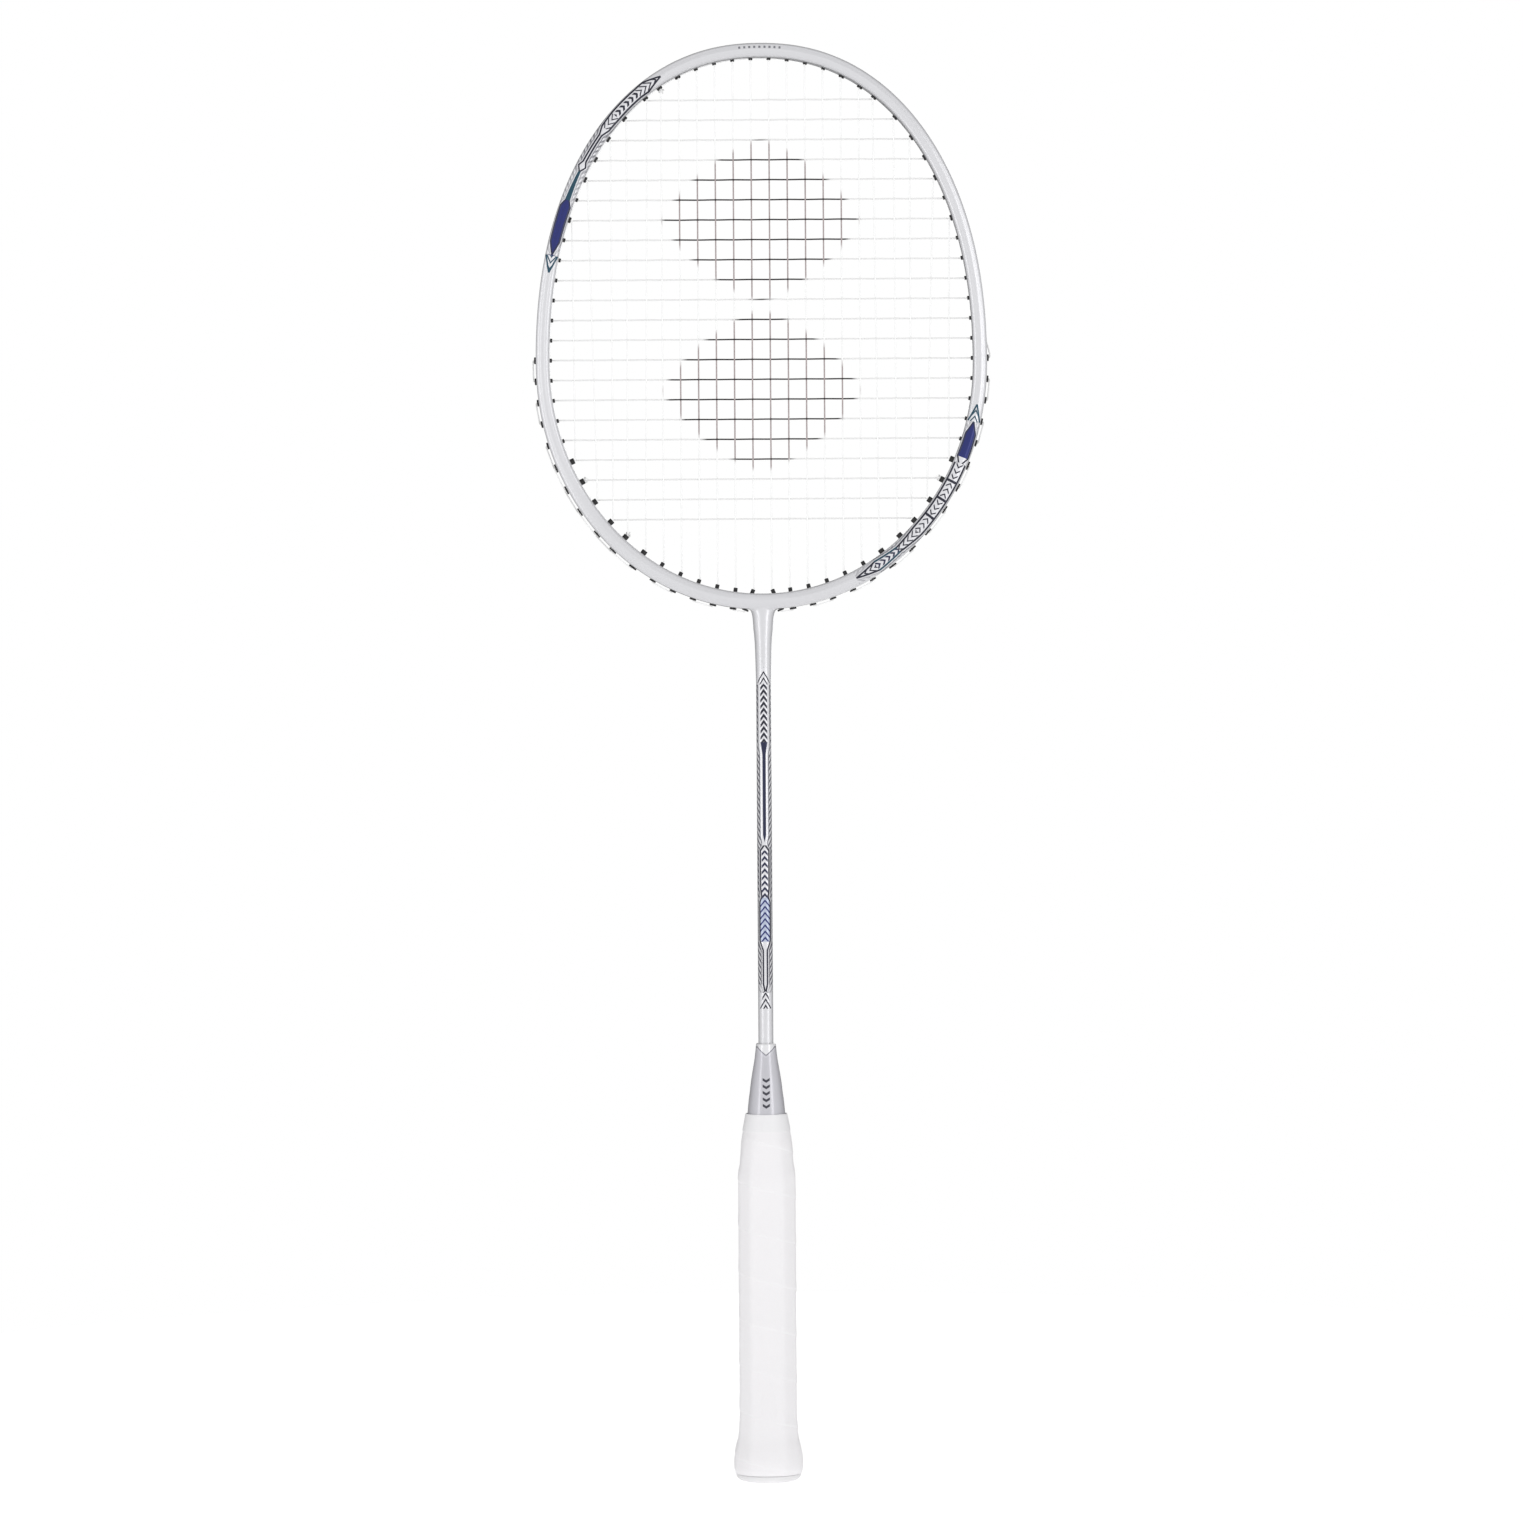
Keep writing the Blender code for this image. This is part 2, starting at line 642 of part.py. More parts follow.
def middle_of_run(first, second, y_first, y_second, plane):
    """A point between two holes, where the string follows the groove or climbs out."""
    if first.on_strip and second.on_strip:
        s = (first.s + second.s) / 2
        low, high = sorted((first.s, second.s))
        y = (y_first + y_second) / 2
        skips = any(low + 1 * MM < hole.s < high - 1 * MM for hole in all_holes
                    if hole.side == first.side)
        if skips:
            y = plane * (PLANE_OFFSET + STRING_DIAMETER)
        return [rim.point(s, first.side, first.run_depth, y)]
    if first.on_strip == second.on_strip:
        return []
    loose = second if first.on_strip else first
    back = -(loose.barrel + FLANGE_RIM + STRING_RADIUS)
    return [loose.point(loose.run_depth, loose.string_y(plane), back)]


def inside_run(start, end, plane):
    """The stretch of string across the head, from barrel to barrel in its own plane."""
    first = start.point(start.inner_end + STRING_LEAD, start.string_y(plane))
    last = end.point(end.inner_end + STRING_LEAD, end.string_y(plane))
    direction = (last - first).normalized()
    points = [first]
    if not start.wide:
        ramp = first + direction * STRING_RAMP
        points.append(Vector((ramp.x, plane * PLANE_OFFSET, ramp.z)))
    if not end.wide:
        ramp = last - direction * STRING_RAMP
        points.append(Vector((ramp.x, plane * PLANE_OFFSET, ramp.z)))
    points.append(last)
    return points


def tail(hole, plane):
    """String end that comes back through a hole, where it is tied off."""
    y = hole.string_y(plane)
    return [
        hole.point(hole.inner_end + STRING_LEAD + TAIL_LENGTH, y),
        hole.point(hole.inner_end, y),
    ]


def string_route(stops, plane, first_tie, last_tie):
    """Points of one string through a list of (start hole, end hole) crossings."""
    points = tail(first_tie, plane) + outside_run(first_tie, stops[0][0], plane)
    for order, (start, end) in enumerate(stops):
        points += inside_run(start, end, plane)
        after = stops[order + 1][0] if order + 1 < len(stops) else last_tie
        points += outside_run(end, after, plane)
    return points + list(reversed(tail(last_tie, plane)))


def main_stops():
    """Mains from the outermost left to the outermost right, joined over the top."""
    stops = []
    half = MAIN_COUNT // 2
    for number in range(half, 0, -1):
        ends = (left["bottom", number], left["top", number])
        stops.append(ends if number % 2 else ends[::-1])
    for number in range(1, half + 1):
        ends = (right["top", number], right["bottom", number])
        stops.append(ends if number % 2 else ends[::-1])
    return stops


def cross_stops():
    """Crosses from the top down, left to right and back."""
    stops = []
    for number in range(1, CROSS_COUNT + 1):
        ends = (left["cross", number], right["cross", number])
        stops.append(ends if number % 2 else ends[::-1])
    return stops


def build_string(name, points, finish):
    """A string is a thin tube along its whole route."""
    curve = bpy.data.curves.new(name, "CURVE")
    curve.dimensions = "3D"
    curve.bevel_depth = STRING_RADIUS
    curve.bevel_resolution = 2
    curve.use_fill_caps = True
    spline = curve.splines.new("POLY")
    spline.points.add(len(points) - 1)
    for target, point in zip(spline.points, points):
        target.co = (*point, 1.0)
    add_part(name, curve, finish)


def build_strings():
    """The mains and the crosses are two separate lengths of string."""
    mains = string_route(main_stops(), -1, left["cross", 20], right["cross", 20])
    build_string("main_string", mains, string_white)
    crosses = string_route(cross_stops(), 1, left["top", 6], left["bottom", 8])
    build_string("cross_string", crosses, string_white)


# ---------------------------------------------------------------- shaft
def tube_profile(outer, inner, length):
    """Wall of a tube that hangs down from its origin."""
    return [(outer, 0.0), (outer, -length), (inner, -length), (inner, 0.0)]


def build_shaft():
    """Hollow shaft from the throat down into the handle, and the T-joint in its top."""
    top = SHAFT_TOP - FIT_GAP
    length = top - (GRIP_TOP - SHAFT_IN_HANDLE)
    mesh = turned("shaft", tube_profile(SHAFT_RADIUS, SHAFT_BORE, length), 20)
    smooth(mesh)
    shaft = add_part("shaft", mesh, pearl)
    shaft.location.z = top
    radius = SHAFT_BORE - FIT_GAP
    height = T_JOINT_IN_SHAFT + SOCKET_DEPTH - FIT_GAP
    bottom = SHAFT_TOP - T_JOINT_IN_SHAFT
    profile = [
        (0.0, height), (radius * 0.8, height), (radius, height - 1 * MM),
        (radius, 1 * MM), (radius * 0.8, 0.0), (0.0, 0.0),
    ]
    joint_mesh = turned("t_joint", profile, 16, closed=False)
    smooth(joint_mesh)
    joint = add_part("t_joint", joint_mesh, dark_metal)
    joint.location.z = bottom


# ---------------------------------------------------------------- handle
def octagon_ring(z, half_x, half_y, roundness):
    """Eight flats with rounded edges, drawn towards an ellipse by the roundness."""
    chamfer = GRIP_CHAMFER - CHAMFER_SHRINK * (GRIP_HALF_X - half_x)
    corners = []
    for sign_x, sign_y in ((1, 1), (-1, 1), (-1, -1), (1, -1)):
        on_side = (sign_x * half_x, sign_y * (half_y - chamfer))
        on_face = (sign_x * (half_x - chamfer), sign_y * half_y)
        corners += [on_side, on_face] if sign_x == sign_y else [on_face, on_side]
    count = len(corners)
    ring = []
    for here in range(count):
        corner_point = Vector(corners[here])
        before = (Vector(corners[here - 1]) - corner_point).normalized()
        after = (Vector(corners[(here + 1) % count]) - corner_point).normalized()
        ring += [corner_point + before * GRIP_EDGE, corner_point + after * GRIP_EDGE]
    flat = math.cos(math.pi / 16)
    points = []
    for order, point in enumerate(ring):
        turn = math.tau * (order + 0.5) / len(ring)
        oval = Vector((half_x / flat * math.cos(turn), half_y / flat * math.sin(turn)))
        mixed = point.lerp(oval, roundness)
        points.append(Vector((mixed.x, mixed.y, z)))
    return points


def circle_ring(z, radius):
    """A round ring with the octagon's sixteen points."""
    return octagon_ring(z, radius, radius, 1.0)


def grip_outline():
    """Outside of the grip from the butt to its shoulder: height, half sizes, roundness."""
    flare = [
        (height, GRIP_HALF_X + out_x, GRIP_HALF_Y + out_y, roundness)
        for height, out_x, out_y, roundness in BUTT_FLARE
    ]
    shoulder = [
        (GRIP_TOP - drop, GRIP_HALF_X - in_x, GRIP_HALF_Y - in_y, roundness)
        for drop, in_x, in_y, roundness in SHOULDER
    ]
    return flare + shoulder


def under(station, inset=UNDER_GRIP):
    """The same station on the surface that the grip is wound on."""
    height, half_x, half_y, roundness = station
    return height, half_x - inset, half_y - inset, roundness


def cone_radius(height):
    """Radius of the cone at a height above the grip's top."""
    heights = [row[0] for row in CONE_OUTLINE] + [CONE_LENGTH]
    radii = [SHAFT_RADIUS + row[1] for row in CONE_OUTLINE] + [SHAFT_RADIUS + CONE_TOP_RIM]
    return float(np.interp(height, heights, radii))


def build_core():
    """Wooden core: a spigot for the butt cap, the eight flats and a nose for the cone."""
    flats_x = GRIP_HALF_X - UNDER_GRIP
    flats_y = GRIP_HALF_Y - UNDER_GRIP
    spigot_x = flats_x - BUTT_CAP_SEAT
    spigot_y = flats_y - BUTT_CAP_SEAT
    spigot_low = BUTT_CAP_FLOOR + FIT_GAP
    flats_low = BUTT_CAP_HEIGHT + FIT_GAP
    flats_high = GRIP_TOP - SHOULDER[0][0]
    nose_high = GRIP_TOP - NOSE_TOP_DROP
    bore = SHAFT_RADIUS + FIT_GAP
    rings = [
        octagon_ring(spigot_low, spigot_x, spigot_y, 0.0),
        octagon_ring(flats_low, spigot_x, spigot_y, 0.0),
        octagon_ring(flats_low, flats_x, flats_y, 0.0),
        octagon_ring(flats_high, flats_x, flats_y, 0.0),
        circle_ring(flats_high, NOSE_RADIUS),
        circle_ring(nose_high, NOSE_RADIUS),
        circle_ring(nose_high, bore),
        circle_ring(spigot_low, bore),
    ]
    add_part("handle_core", loft("handle_core", rings, closed=True), wood)


def build_cone():
    """Hollow cone between the shaft and the grip, over the nose of the core."""
    base = GRIP_TOP - SHOULDER[0][0] + FIT_GAP
    first = under(grip_outline()[-len(SHOULDER)])
    rings = [octagon_ring(base, *first[1:])]
    for station in grip_outline()[1 - len(SHOULDER):]:
        rings.append(octagon_ring(*under(station)))
    for height, extra in CONE_OUTLINE:
        rings.append(circle_ring(GRIP_TOP + height, SHAFT_RADIUS + extra))
    top = GRIP_TOP + CONE_LENGTH
    bore = SHAFT_RADIUS + FIT_GAP
    cavity = NOSE_RADIUS + FIT_GAP
    cavity_top = GRIP_TOP - NOSE_TOP_DROP + FIT_GAP
    rings += [
        circle_ring(top, SHAFT_RADIUS + CONE_TOP_RIM),
        circle_ring(top, bore),
        circle_ring(cavity_top, bore),
        circle_ring(cavity_top, cavity),
        circle_ring(base, cavity),
    ]
    add_part("cone_cap", loft("cone_cap", rings, closed=True), cone_grey)


def build_butt():
    """Plastic cap on the end of the core, flared under the grip, with a round badge."""
    end_x = GRIP_HALF_X - BUTT_END_IN_X
    end_y = GRIP_HALF_Y - BUTT_END_IN_Y
    lip_x = GRIP_HALF_X + BUTT_LIP_OUT_X
    lip_y = GRIP_HALF_Y + BUTT_LIP_OUT_Y
    recess = BADGE_RADIUS + FIT_GAP
    recess_top = BADGE_THICKNESS + FIT_GAP
    lip_top = GRIP_BOTTOM - FIT_GAP
    seat = under(grip_outline()[0])
    pocket_x = GRIP_HALF_X - UNDER_GRIP - BUTT_CAP_SEAT + FIT_GAP
    pocket_y = GRIP_HALF_Y - UNDER_GRIP - BUTT_CAP_SEAT + FIT_GAP
    roundness = BUTT_FLARE[0][3]
    mid_x = (end_x + 2 * lip_x) / 3
    mid_y = (end_y + 2 * lip_y) / 3
    rings = [
        circle_ring(recess_top, recess),
        circle_ring(0.0, recess),
        octagon_ring(0.0, end_x, end_y, roundness),
        octagon_ring(0.35 * lip_top, mid_x, mid_y, roundness),
        octagon_ring(0.8 * lip_top, lip_x, lip_y, roundness),
        octagon_ring(lip_top, lip_x, lip_y, roundness),
        octagon_ring(lip_top, *seat[1:]),
    ]
    for station in grip_outline()[1:]:
        if station[0] < BUTT_CAP_HEIGHT - 1 * MM:
            rings.append(octagon_ring(*under(station)))
    rings += [
        octagon_ring(BUTT_CAP_HEIGHT, GRIP_HALF_X - UNDER_GRIP, GRIP_HALF_Y - UNDER_GRIP, 0.0),
        octagon_ring(BUTT_CAP_HEIGHT, pocket_x, pocket_y, 0.0),
        octagon_ring(BUTT_CAP_FLOOR, pocket_x, pocket_y, 0.0),
    ]
    add_part("butt_cap", loft("butt_cap", rings), cap_white)
    profile = [
        (0.0, BADGE_THICKNESS), (BADGE_RADIUS, BADGE_THICKNESS),
        (BADGE_RADIUS, 0.0), (0.0, 0.0),
    ]
    add_part("butt_badge", turned("butt_badge", profile, 24, closed=False), badge_grey)


def build_grip():
    """Grip sleeve from the butt cap to the cone, and the tape that holds its top."""
    outline = grip_outline()
    tape_low = GRIP_TOP - FINISHING_TAPE_WIDTH
    grip_high = GRIP_TOP - FINISHING_TAPE_OVERHANG
    high_inner = cone_radius(-FINISHING_TAPE_OVERHANG) + FIT_GAP
    high_outer = high_inner + GRIP_END_WALL
    low_outer = outline[-1][1] - FINISHING_TAPE_WALL - TAPE_GAP
    low_inner = cone_radius(-FINISHING_TAPE_WIDTH) + FIT_GAP
    rings = [octagon_ring(*station) for station in outline]
    rings += [
        circle_ring(tape_low - TAPE_GAP, low_outer),
        circle_ring(grip_high, high_outer),
        circle_ring(grip_high, high_inner),
        circle_ring(tape_low, low_inner),
    ]
    rings += [octagon_ring(*under(station, GRIP_WALL)) for station in reversed(outline)]
    add_part("grip_tape", loft("grip_tape", rings, closed=True), grip_white)
    tape_low_inner = low_outer + TAPE_GAP
    tape_high_inner = high_outer + TAPE_GAP
    tape = [
        circle_ring(tape_low, tape_low_inner + FINISHING_TAPE_WALL),
        circle_ring(GRIP_TOP, tape_high_inner + FINISHING_TAPE_WALL),
        circle_ring(GRIP_TOP, tape_high_inner),
        circle_ring(tape_low, tape_low_inner),
    ]
    add_part("finishing_tape", loft("finishing_tape", tape, closed=True), grip_white)


# ---------------------------------------------------------------- the racket
clear_scene()
racket = new_collection("badminton_racket")
cutters = new_collection("cutters")
origin = bpy.data.objects.new("racket_origin", None)
racket.objects.link(origin)

pearl = material("pearl_lacquer", (0.80, 0.80, 0.83), 0.22, 0.35)
cone_grey = material("cone_lacquer", (0.62, 0.61, 0.68), 0.28, 0.35)
black = material("black_nylon", (0.02, 0.02, 0.022), 0.45)
string_white = material("string_nylon", (0.88, 0.88, 0.86), 0.35)
grip_white = material("grip_tape_white", (0.86, 0.86, 0.87), 0.62)
wood = material("handle_wood", (0.62, 0.47, 0.30), 0.70)
cap_white = material("cap_plastic", (0.80, 0.80, 0.82), 0.40)
badge_grey = material("badge_film", (0.35, 0.36, 0.42), 0.30)
dark_metal = material("t_joint_metal", (0.30, 0.30, 0.31), 0.40, 0.9)

rim = Rim()
right = drill_plan(1)
left = drill_plan(-1)
all_holes = unique_holes(right) + unique_holes(left)

build_head()
build_grommets()
build_strings()
build_shaft()
build_core()
build_cone()
build_butt()
build_grip()
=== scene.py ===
"""Looks of a badminton racket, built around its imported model.

The racket stands upright: +Z runs from the butt to the top of the head, X is the width of
the head, and the front faces -Y. All lengths are in metres.
"""
import math

import bmesh
import bpy
import numpy as np
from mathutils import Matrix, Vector
from mathutils.kdtree import KDTree


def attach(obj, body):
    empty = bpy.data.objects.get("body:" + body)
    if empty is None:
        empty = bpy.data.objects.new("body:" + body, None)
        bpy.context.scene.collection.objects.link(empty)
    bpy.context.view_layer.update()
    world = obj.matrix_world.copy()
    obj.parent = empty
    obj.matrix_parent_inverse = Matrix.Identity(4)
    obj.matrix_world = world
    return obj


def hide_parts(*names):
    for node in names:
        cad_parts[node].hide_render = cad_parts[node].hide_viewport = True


MM = 0.001
SOFT_EDGE = 0.2 * MM              # over which a painted area ends

# --- head
TOTAL_LENGTH = 675 * MM
HALF_WIDTH = 106 * MM
HEAD_BOTTOM = 409 * MM
WIDEST_Z = 525 * MM
UPPER_ROUNDNESS = 2.18
LOWER_ROUNDNESS = 2.02
RIM_HALF_DEPTH = 5.25 * MM
RIM_WIDTH_UPPER = 6.5 * MM
RIM_WIDTH_BOTTOM = 7.4 * MM
RIM_CORNER = 1.85 * MM
RIM_CORNER_DROP = 2.0 * MM
RIM_CROWN = 0.3 * MM              # how far the middle of the front and back stands proud
RIM_STATIONS = 300                # rings of the mesh on each half of the head
OUTLINE_STEPS = 1600              # in each quarter of the outline
GROOVE_LIP = 0.45 * MM
GROOVE_RUN_OUT = 4.2 * MM
GROOVE_FADE = 4.5 * MM

# --- strings and grommets
STRING_RADIUS = 0.35 * MM
STRING_SIDES = 10
KNOT_SIZE = 0.42 * MM
PLANE_OFFSET = 0.5 * MM
WEAVE = 0.365 * MM                # how far a string swings to each side where it crosses
CROSSINGS = 22
OUTER_MAIN_SHARE = 0.892
FIRST_CROSS_DROP = 19.8 * MM
LAST_CROSS_RISE = 35.2 * MM
NARROW_BORE, NARROW_BARREL = 0.65 * MM, 0.95 * MM
WIDE_BORE, WIDE_BARREL = 1.1 * MM, 1.4 * MM
FIT_GAP = 0.3 * MM
FLANGE_RIM = 0.65 * MM
FLANGE_FACE = -0.9 * MM
FLANGE_THICKNESS = 0.8 * MM
PEG_SIDES = 20
STRIP_HALF = 1.75 * MM
STRIP_FACE = 1.0 * MM
STRIP_THICKNESS = 0.8 * MM
STRIP_END = 3.0 * MM
GROOVE_HALF = 2.05 * MM
GROOVE_DEPTH = 2.1 * MM
SHORT_BARREL = 1.0 * MM
LONG_BARREL = 2.0 * MM
STRING_STEP = 0.55 * MM
STRING_BEND = 0.4 * MM
STRING_LEAD = 0.5 * MM
TAIL_LENGTH = 1.8 * MM

# --- throat, shaft and handle
SHAFT_RADIUS = 3.5 * MM
SHAFT_BORE = 2.5 * MM
SHAFT_TOP = 374 * MM
SHAFT_FOOT = 85 * MM
THROAT_LENGTH = 35 * MM
THROAT_TOP_HALF_DEPTH = 4.6 * MM
GRIP_TOP = 172 * MM
GRIP_HALF_X = 13.4 * MM
GRIP_HALF_Y = 12.0 * MM
GRIP_CHAMFER = 5.8 * MM
GRIP_WALL = 1.4 * MM
UNDER_GRIP = 1.7 * MM
EDGE_POWER = 26                   # higher makes the eight long edges of the grip sharper
WRAP_PITCH = 21.5 * MM            # one turn of the grip tape
WRAP_START = 114.9 * MM           # height at which a seam crosses the middle of the front
WRAP_STEP = 0.20 * MM             # how far the edge of a turn stands above the turn below
WRAP_SHOULDER = 0.26              # share of a turn over which that step dies away
TAPE_LOW = 164 * MM
CONE_LENGTH = 33 * MM
CONE_TOP_RIM = 1.1 * MM
BADGE_RADIUS = 8.0 * MM

# Height above the butt, half width and half depth past the grip's, roundness.
BUTT_FLARE = (
    (3.5, 2.3, 2.5, 0.55), (6.0, 2.8, 3.0, 0.55), (9.0, 2.8, 3.0, 0.55),
    (13.0, 2.35, 2.5, 0.45), (16.7, 1.6, 1.7, 0.35), (20.0, 0.8, 0.9, 0.25),
    (26.0, 0.25, 0.3, 0.08), (30.0, 0.0, 0.0, 0.0),
)
# Drop below the grip's top, inset of the half sizes, roundness.
SHOULDER = (
    (31.0, 0.0, 0.0, 0.0), (27.5, 0.15, 0.15, 0.1), (24.0, 0.7, 0.5, 0.25),
    (18.0, 1.2, 0.6, 0.5), (12.0, 1.65, 0.8, 0.75), (9.0, 2.15, 1.0, 0.95),
)
# Height above the grip's top, radius past the shaft.
CONE_OUTLINE = (
    (-8.0, 5.80), (-1.5, 5.45), (0.0, 5.35), (6.0, 4.80), (10.0, 4.25), (14.0, 3.80),
    (18.0, 3.20), (21.5, 2.60), (25.0, 2.00), (29.0, 1.50), (33.0, 1.10),
)
# Share of the throat's length above the shaft, width past the shaft's radius.
THROAT_OUTLINE = (
    (0.0, 0.0), (0.32, 0.25), (0.54, 0.50), (0.66, 0.80), (0.76, 1.20), (0.87, 1.45),
    (0.95, 1.85), (1.01, 2.75), (1.10, 4.50),
)


# --- small helpers
def ease(share):
    """Smooth step of a number or an array."""
    share = np.clip(share, 0.0, 1.0)
    return share * share * (3 - 2 * share)


def smooth_line(at, places, values):
    """A curve through a table without overshoot."""
    places, values = np.asarray(places, float), np.asarray(values, float)
    rise = np.diff(values) / np.diff(places)
    slope = np.concatenate(([rise[0]], (rise[1:] + rise[:-1]) / 2, [rise[-1]]))
    turning = np.concatenate(([False], rise[1:] * rise[:-1] <= 0, [False]))
    slope[turning] = 0.0
    at = np.clip(at, places[0], places[-1])
    spot = np.clip(np.searchsorted(places, at, side="right") - 1, 0, len(rise) - 1)
    span = places[spot + 1] - places[spot]
    t = (at - places[spot]) / span
    keep_low = 2 * t**3 - 3 * t**2 + 1
    return (keep_low * values[spot] + (t**3 - 2 * t**2 + t) * span * slope[spot]
            + (1 - keep_low) * values[spot + 1] + (t**3 - t**2) * span * slope[spot + 1])


def tidy_mesh(form, name, angle=40):
    """A finished mesh from a bmesh: merged, facing outwards, smooth with its edges kept."""
    bmesh.ops.remove_doubles(form, verts=form.verts, dist=2e-7)
    bmesh.ops.dissolve_degenerate(form, edges=form.edges, dist=1e-7)
    bmesh.ops.recalc_face_normals(form, faces=form.faces)
    mesh = bpy.data.meshes.new(name)
    form.to_mesh(mesh)
    form.free()
    mesh.shade_smooth()
    mesh.set_sharp_from_angle(angle=math.radians(angle))
    return mesh


def skin(form, rings, closed=False, capped=False):
    """Add quads over rings of equal count to a bmesh."""
    loops = [[form.verts.new(point) for point in ring] for ring in rings]
    count = len(rings[0])
    pairs = list(zip(loops, loops[1:])) + ([(loops[-1], loops[0])] if closed else [])
    for low, high in pairs:
        for here in range(count):
            after = (here + 1) % count
            form.faces.new((low[here], low[after], high[after], high[here]))
    if capped:
        form.faces.new(loops[0])
        form.faces.new(loops[-1])


def skinned(name, rings, angle=40, **ends):
    """A finished mesh over rings of equal count."""
    form = bmesh.new()
    skin(form, rings, **ends)
    return tidy_mesh(form, name, angle)


def turned_ring(radius, height, count):
    """A round ring about the Z axis."""
    turns = np.arange(count) * math.tau / count
    return np.stack((radius * np.cos(turns), radius * np.sin(turns),
                     np.full(count, height)), axis=1)


def placed_object(name, data):
    """A new object in the scene."""
    made = bpy.data.objects.new(name, data)
    bpy.context.scene.collection.objects.link(made)
    return made


def finish_piece(name, mesh, material, slot, *nodes):
    """Put a finished mesh on the racket in place of its CAD nodes."""
    piece = placed_object(name, mesh)
    if material is not None:
        mesh.materials.clear()
        mesh.materials.append(material)
    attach(piece, "root")
    if nodes:
        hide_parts(*nodes)


def baked(piece, name):
    """The evaluated mesh of an object with live modifiers; the object is removed."""
    graph = bpy.context.evaluated_depsgraph_get()
    mesh = bpy.data.meshes.new_from_object(piece.evaluated_get(graph), depsgraph=graph)
    mesh.name = name
    bpy.data.objects.remove(piece, do_unlink=True)
    return mesh


def joined_solid(name, body, added=None, cut=None):
    """A mesh with another joined on and another cut away."""
    target, helpers = placed_object(name, body), []
    for operation, mesh in (("UNION", added), ("DIFFERENCE", cut)):
        if mesh is None:
            continue
        helper = placed_object(f"{name}_{operation.lower()}", mesh)
        helpers.append(helper)
        step = target.modifiers.new(operation.lower(), "BOOLEAN")
        step.operation, step.solver, step.object = operation, "EXACT", helper
    made = baked(target, name)
    for helper in helpers:
        bpy.data.objects.remove(helper, do_unlink=True)
    return made


# --- outline of the head
class Rim:
    """Outer outline of the head's right half, measured by its length from the top."""

    def __init__(self):
        turn = np.linspace(0, math.pi / 2, OUTLINE_STEPS + 1)
        upper, lower = 2 / UPPER_ROUNDNESS, 2 / LOWER_ROUNDNESS
        upper_x = HALF_WIDTH * np.sin(turn) ** upper
        upper_z = WIDEST_Z + (TOTAL_LENGTH - WIDEST_Z) * np.cos(turn) ** upper
        lower_x = HALF_WIDTH * np.cos(turn) ** lower
        lower_z = WIDEST_Z - (WIDEST_Z - HEAD_BOTTOM) * np.sin(turn) ** lower
        self.x = np.concatenate((upper_x, lower_x[1:]))
        self.z = np.concatenate((upper_z, lower_z[1:]))
        steps = np.hypot(np.diff(self.x), np.diff(self.z))
        self.s = np.concatenate(([0.0], np.cumsum(steps)))
        along_x, along_z = np.gradient(self.x, self.s), np.gradient(self.z, self.s)
        size = np.hypot(along_x, along_z)
        self.tangent_x, self.tangent_z = along_x / size, along_z / size
        self.tangent_z[[0, -1]] = 0.0
        below = ease((WIDEST_Z - self.z) / (WIDEST_Z - HEAD_BOTTOM))
        self.width = RIM_WIDTH_UPPER + (RIM_WIDTH_BOTTOM - RIM_WIDTH_UPPER) * below
        self.length = self.s[-1]
        self.widest = self.s[OUTLINE_STEPS]

    def value(self, table, s):
        return float(np.interp(s, self.s, table))

    def tangent(self, s, side):
        return Vector((side * self.value(self.tangent_x, s), 0, self.value(self.tangent_z, s)))

    def inward(self, s, side):
        return Vector((side * self.value(self.tangent_z, s), 0, -self.value(self.tangent_x, s)))

    def point(self, s, side, depth=0.0, y=0.0):
        """A point at a depth below the outer surface."""
        surface = Vector((side * self.value(self.x, s), y, self.value(self.z, s)))
        return surface + depth * self.inward(s, side)

    def where(self, axis, target, reach, upper):
        """Length at which a point `reach` inside the rim has the target X or Z."""
        depth = self.width + reach
        across = self.x + depth * self.tangent_z
        height = self.z - depth * self.tangent_x
        keep = np.ones_like(self.s, dtype=bool)
        if axis == "x":
            keep = self.s <= self.widest if upper else self.s >= self.widest
        table = (across if axis == "x" else height)[keep]
        places = self.s[keep]
        if table[-1] < table[0]:
            table, places = table[::-1], places[::-1]
        return float(np.interp(target, table, places))


class Hole:
    """One drilled hole of the rim, with its barrel and the strings that pass it."""

    def __init__(self, side, s, wide, barrel_end, on_strip, slant=0.0):
        self.side, self.s, self.wide = side, s, wide
        self.on_strip, self.slant = on_strip, slant
        self.inner_end = rim.value(rim.width, s) + barrel_end
        self.bore = WIDE_BORE if wide else NARROW_BORE
        self.barrel = WIDE_BARREL if wide else NARROW_BARREL
        self.face = STRIP_FACE if on_strip else FLANGE_FACE
        self.run_depth = self.face - STRING_STEP

    def point(self, depth, y=0.0, along=0.0):
        """A point at a depth in the hole, moved along the rim by `along`."""
        slide = along + self.slant * max(depth, self.face)
        return (rim.point(self.s, self.side, depth, y)
                + slide * rim.tangent(self.s, self.side))

    def string_y(self, plane):
        """Strings share a wide hole side by side and use the middle of a narrow one."""
        return plane * PLANE_OFFSET if self.wide else 0.0


# Mains that share the hole of a cross string, at the top and at the bottom.
TOP_SHARED = {7: 1, 8: 2, 9: 3, 10: 5, 11: 7}
BOTTOM_SHARED = {9: 22, 10: 21, 11: 19}
TOP_MAINS_WIDE, BOTTOM_MAINS_WIDE = (5, 6), (7, 8)
CROSSES_WIDE = (1, 2, 3, 4, 5, 7, 19, 20, 21, 22)
LONG_CROSSES = (19, 20, 21, 22)
LAST_GROOVE_CROSS = 13
HALF_MAINS = 11


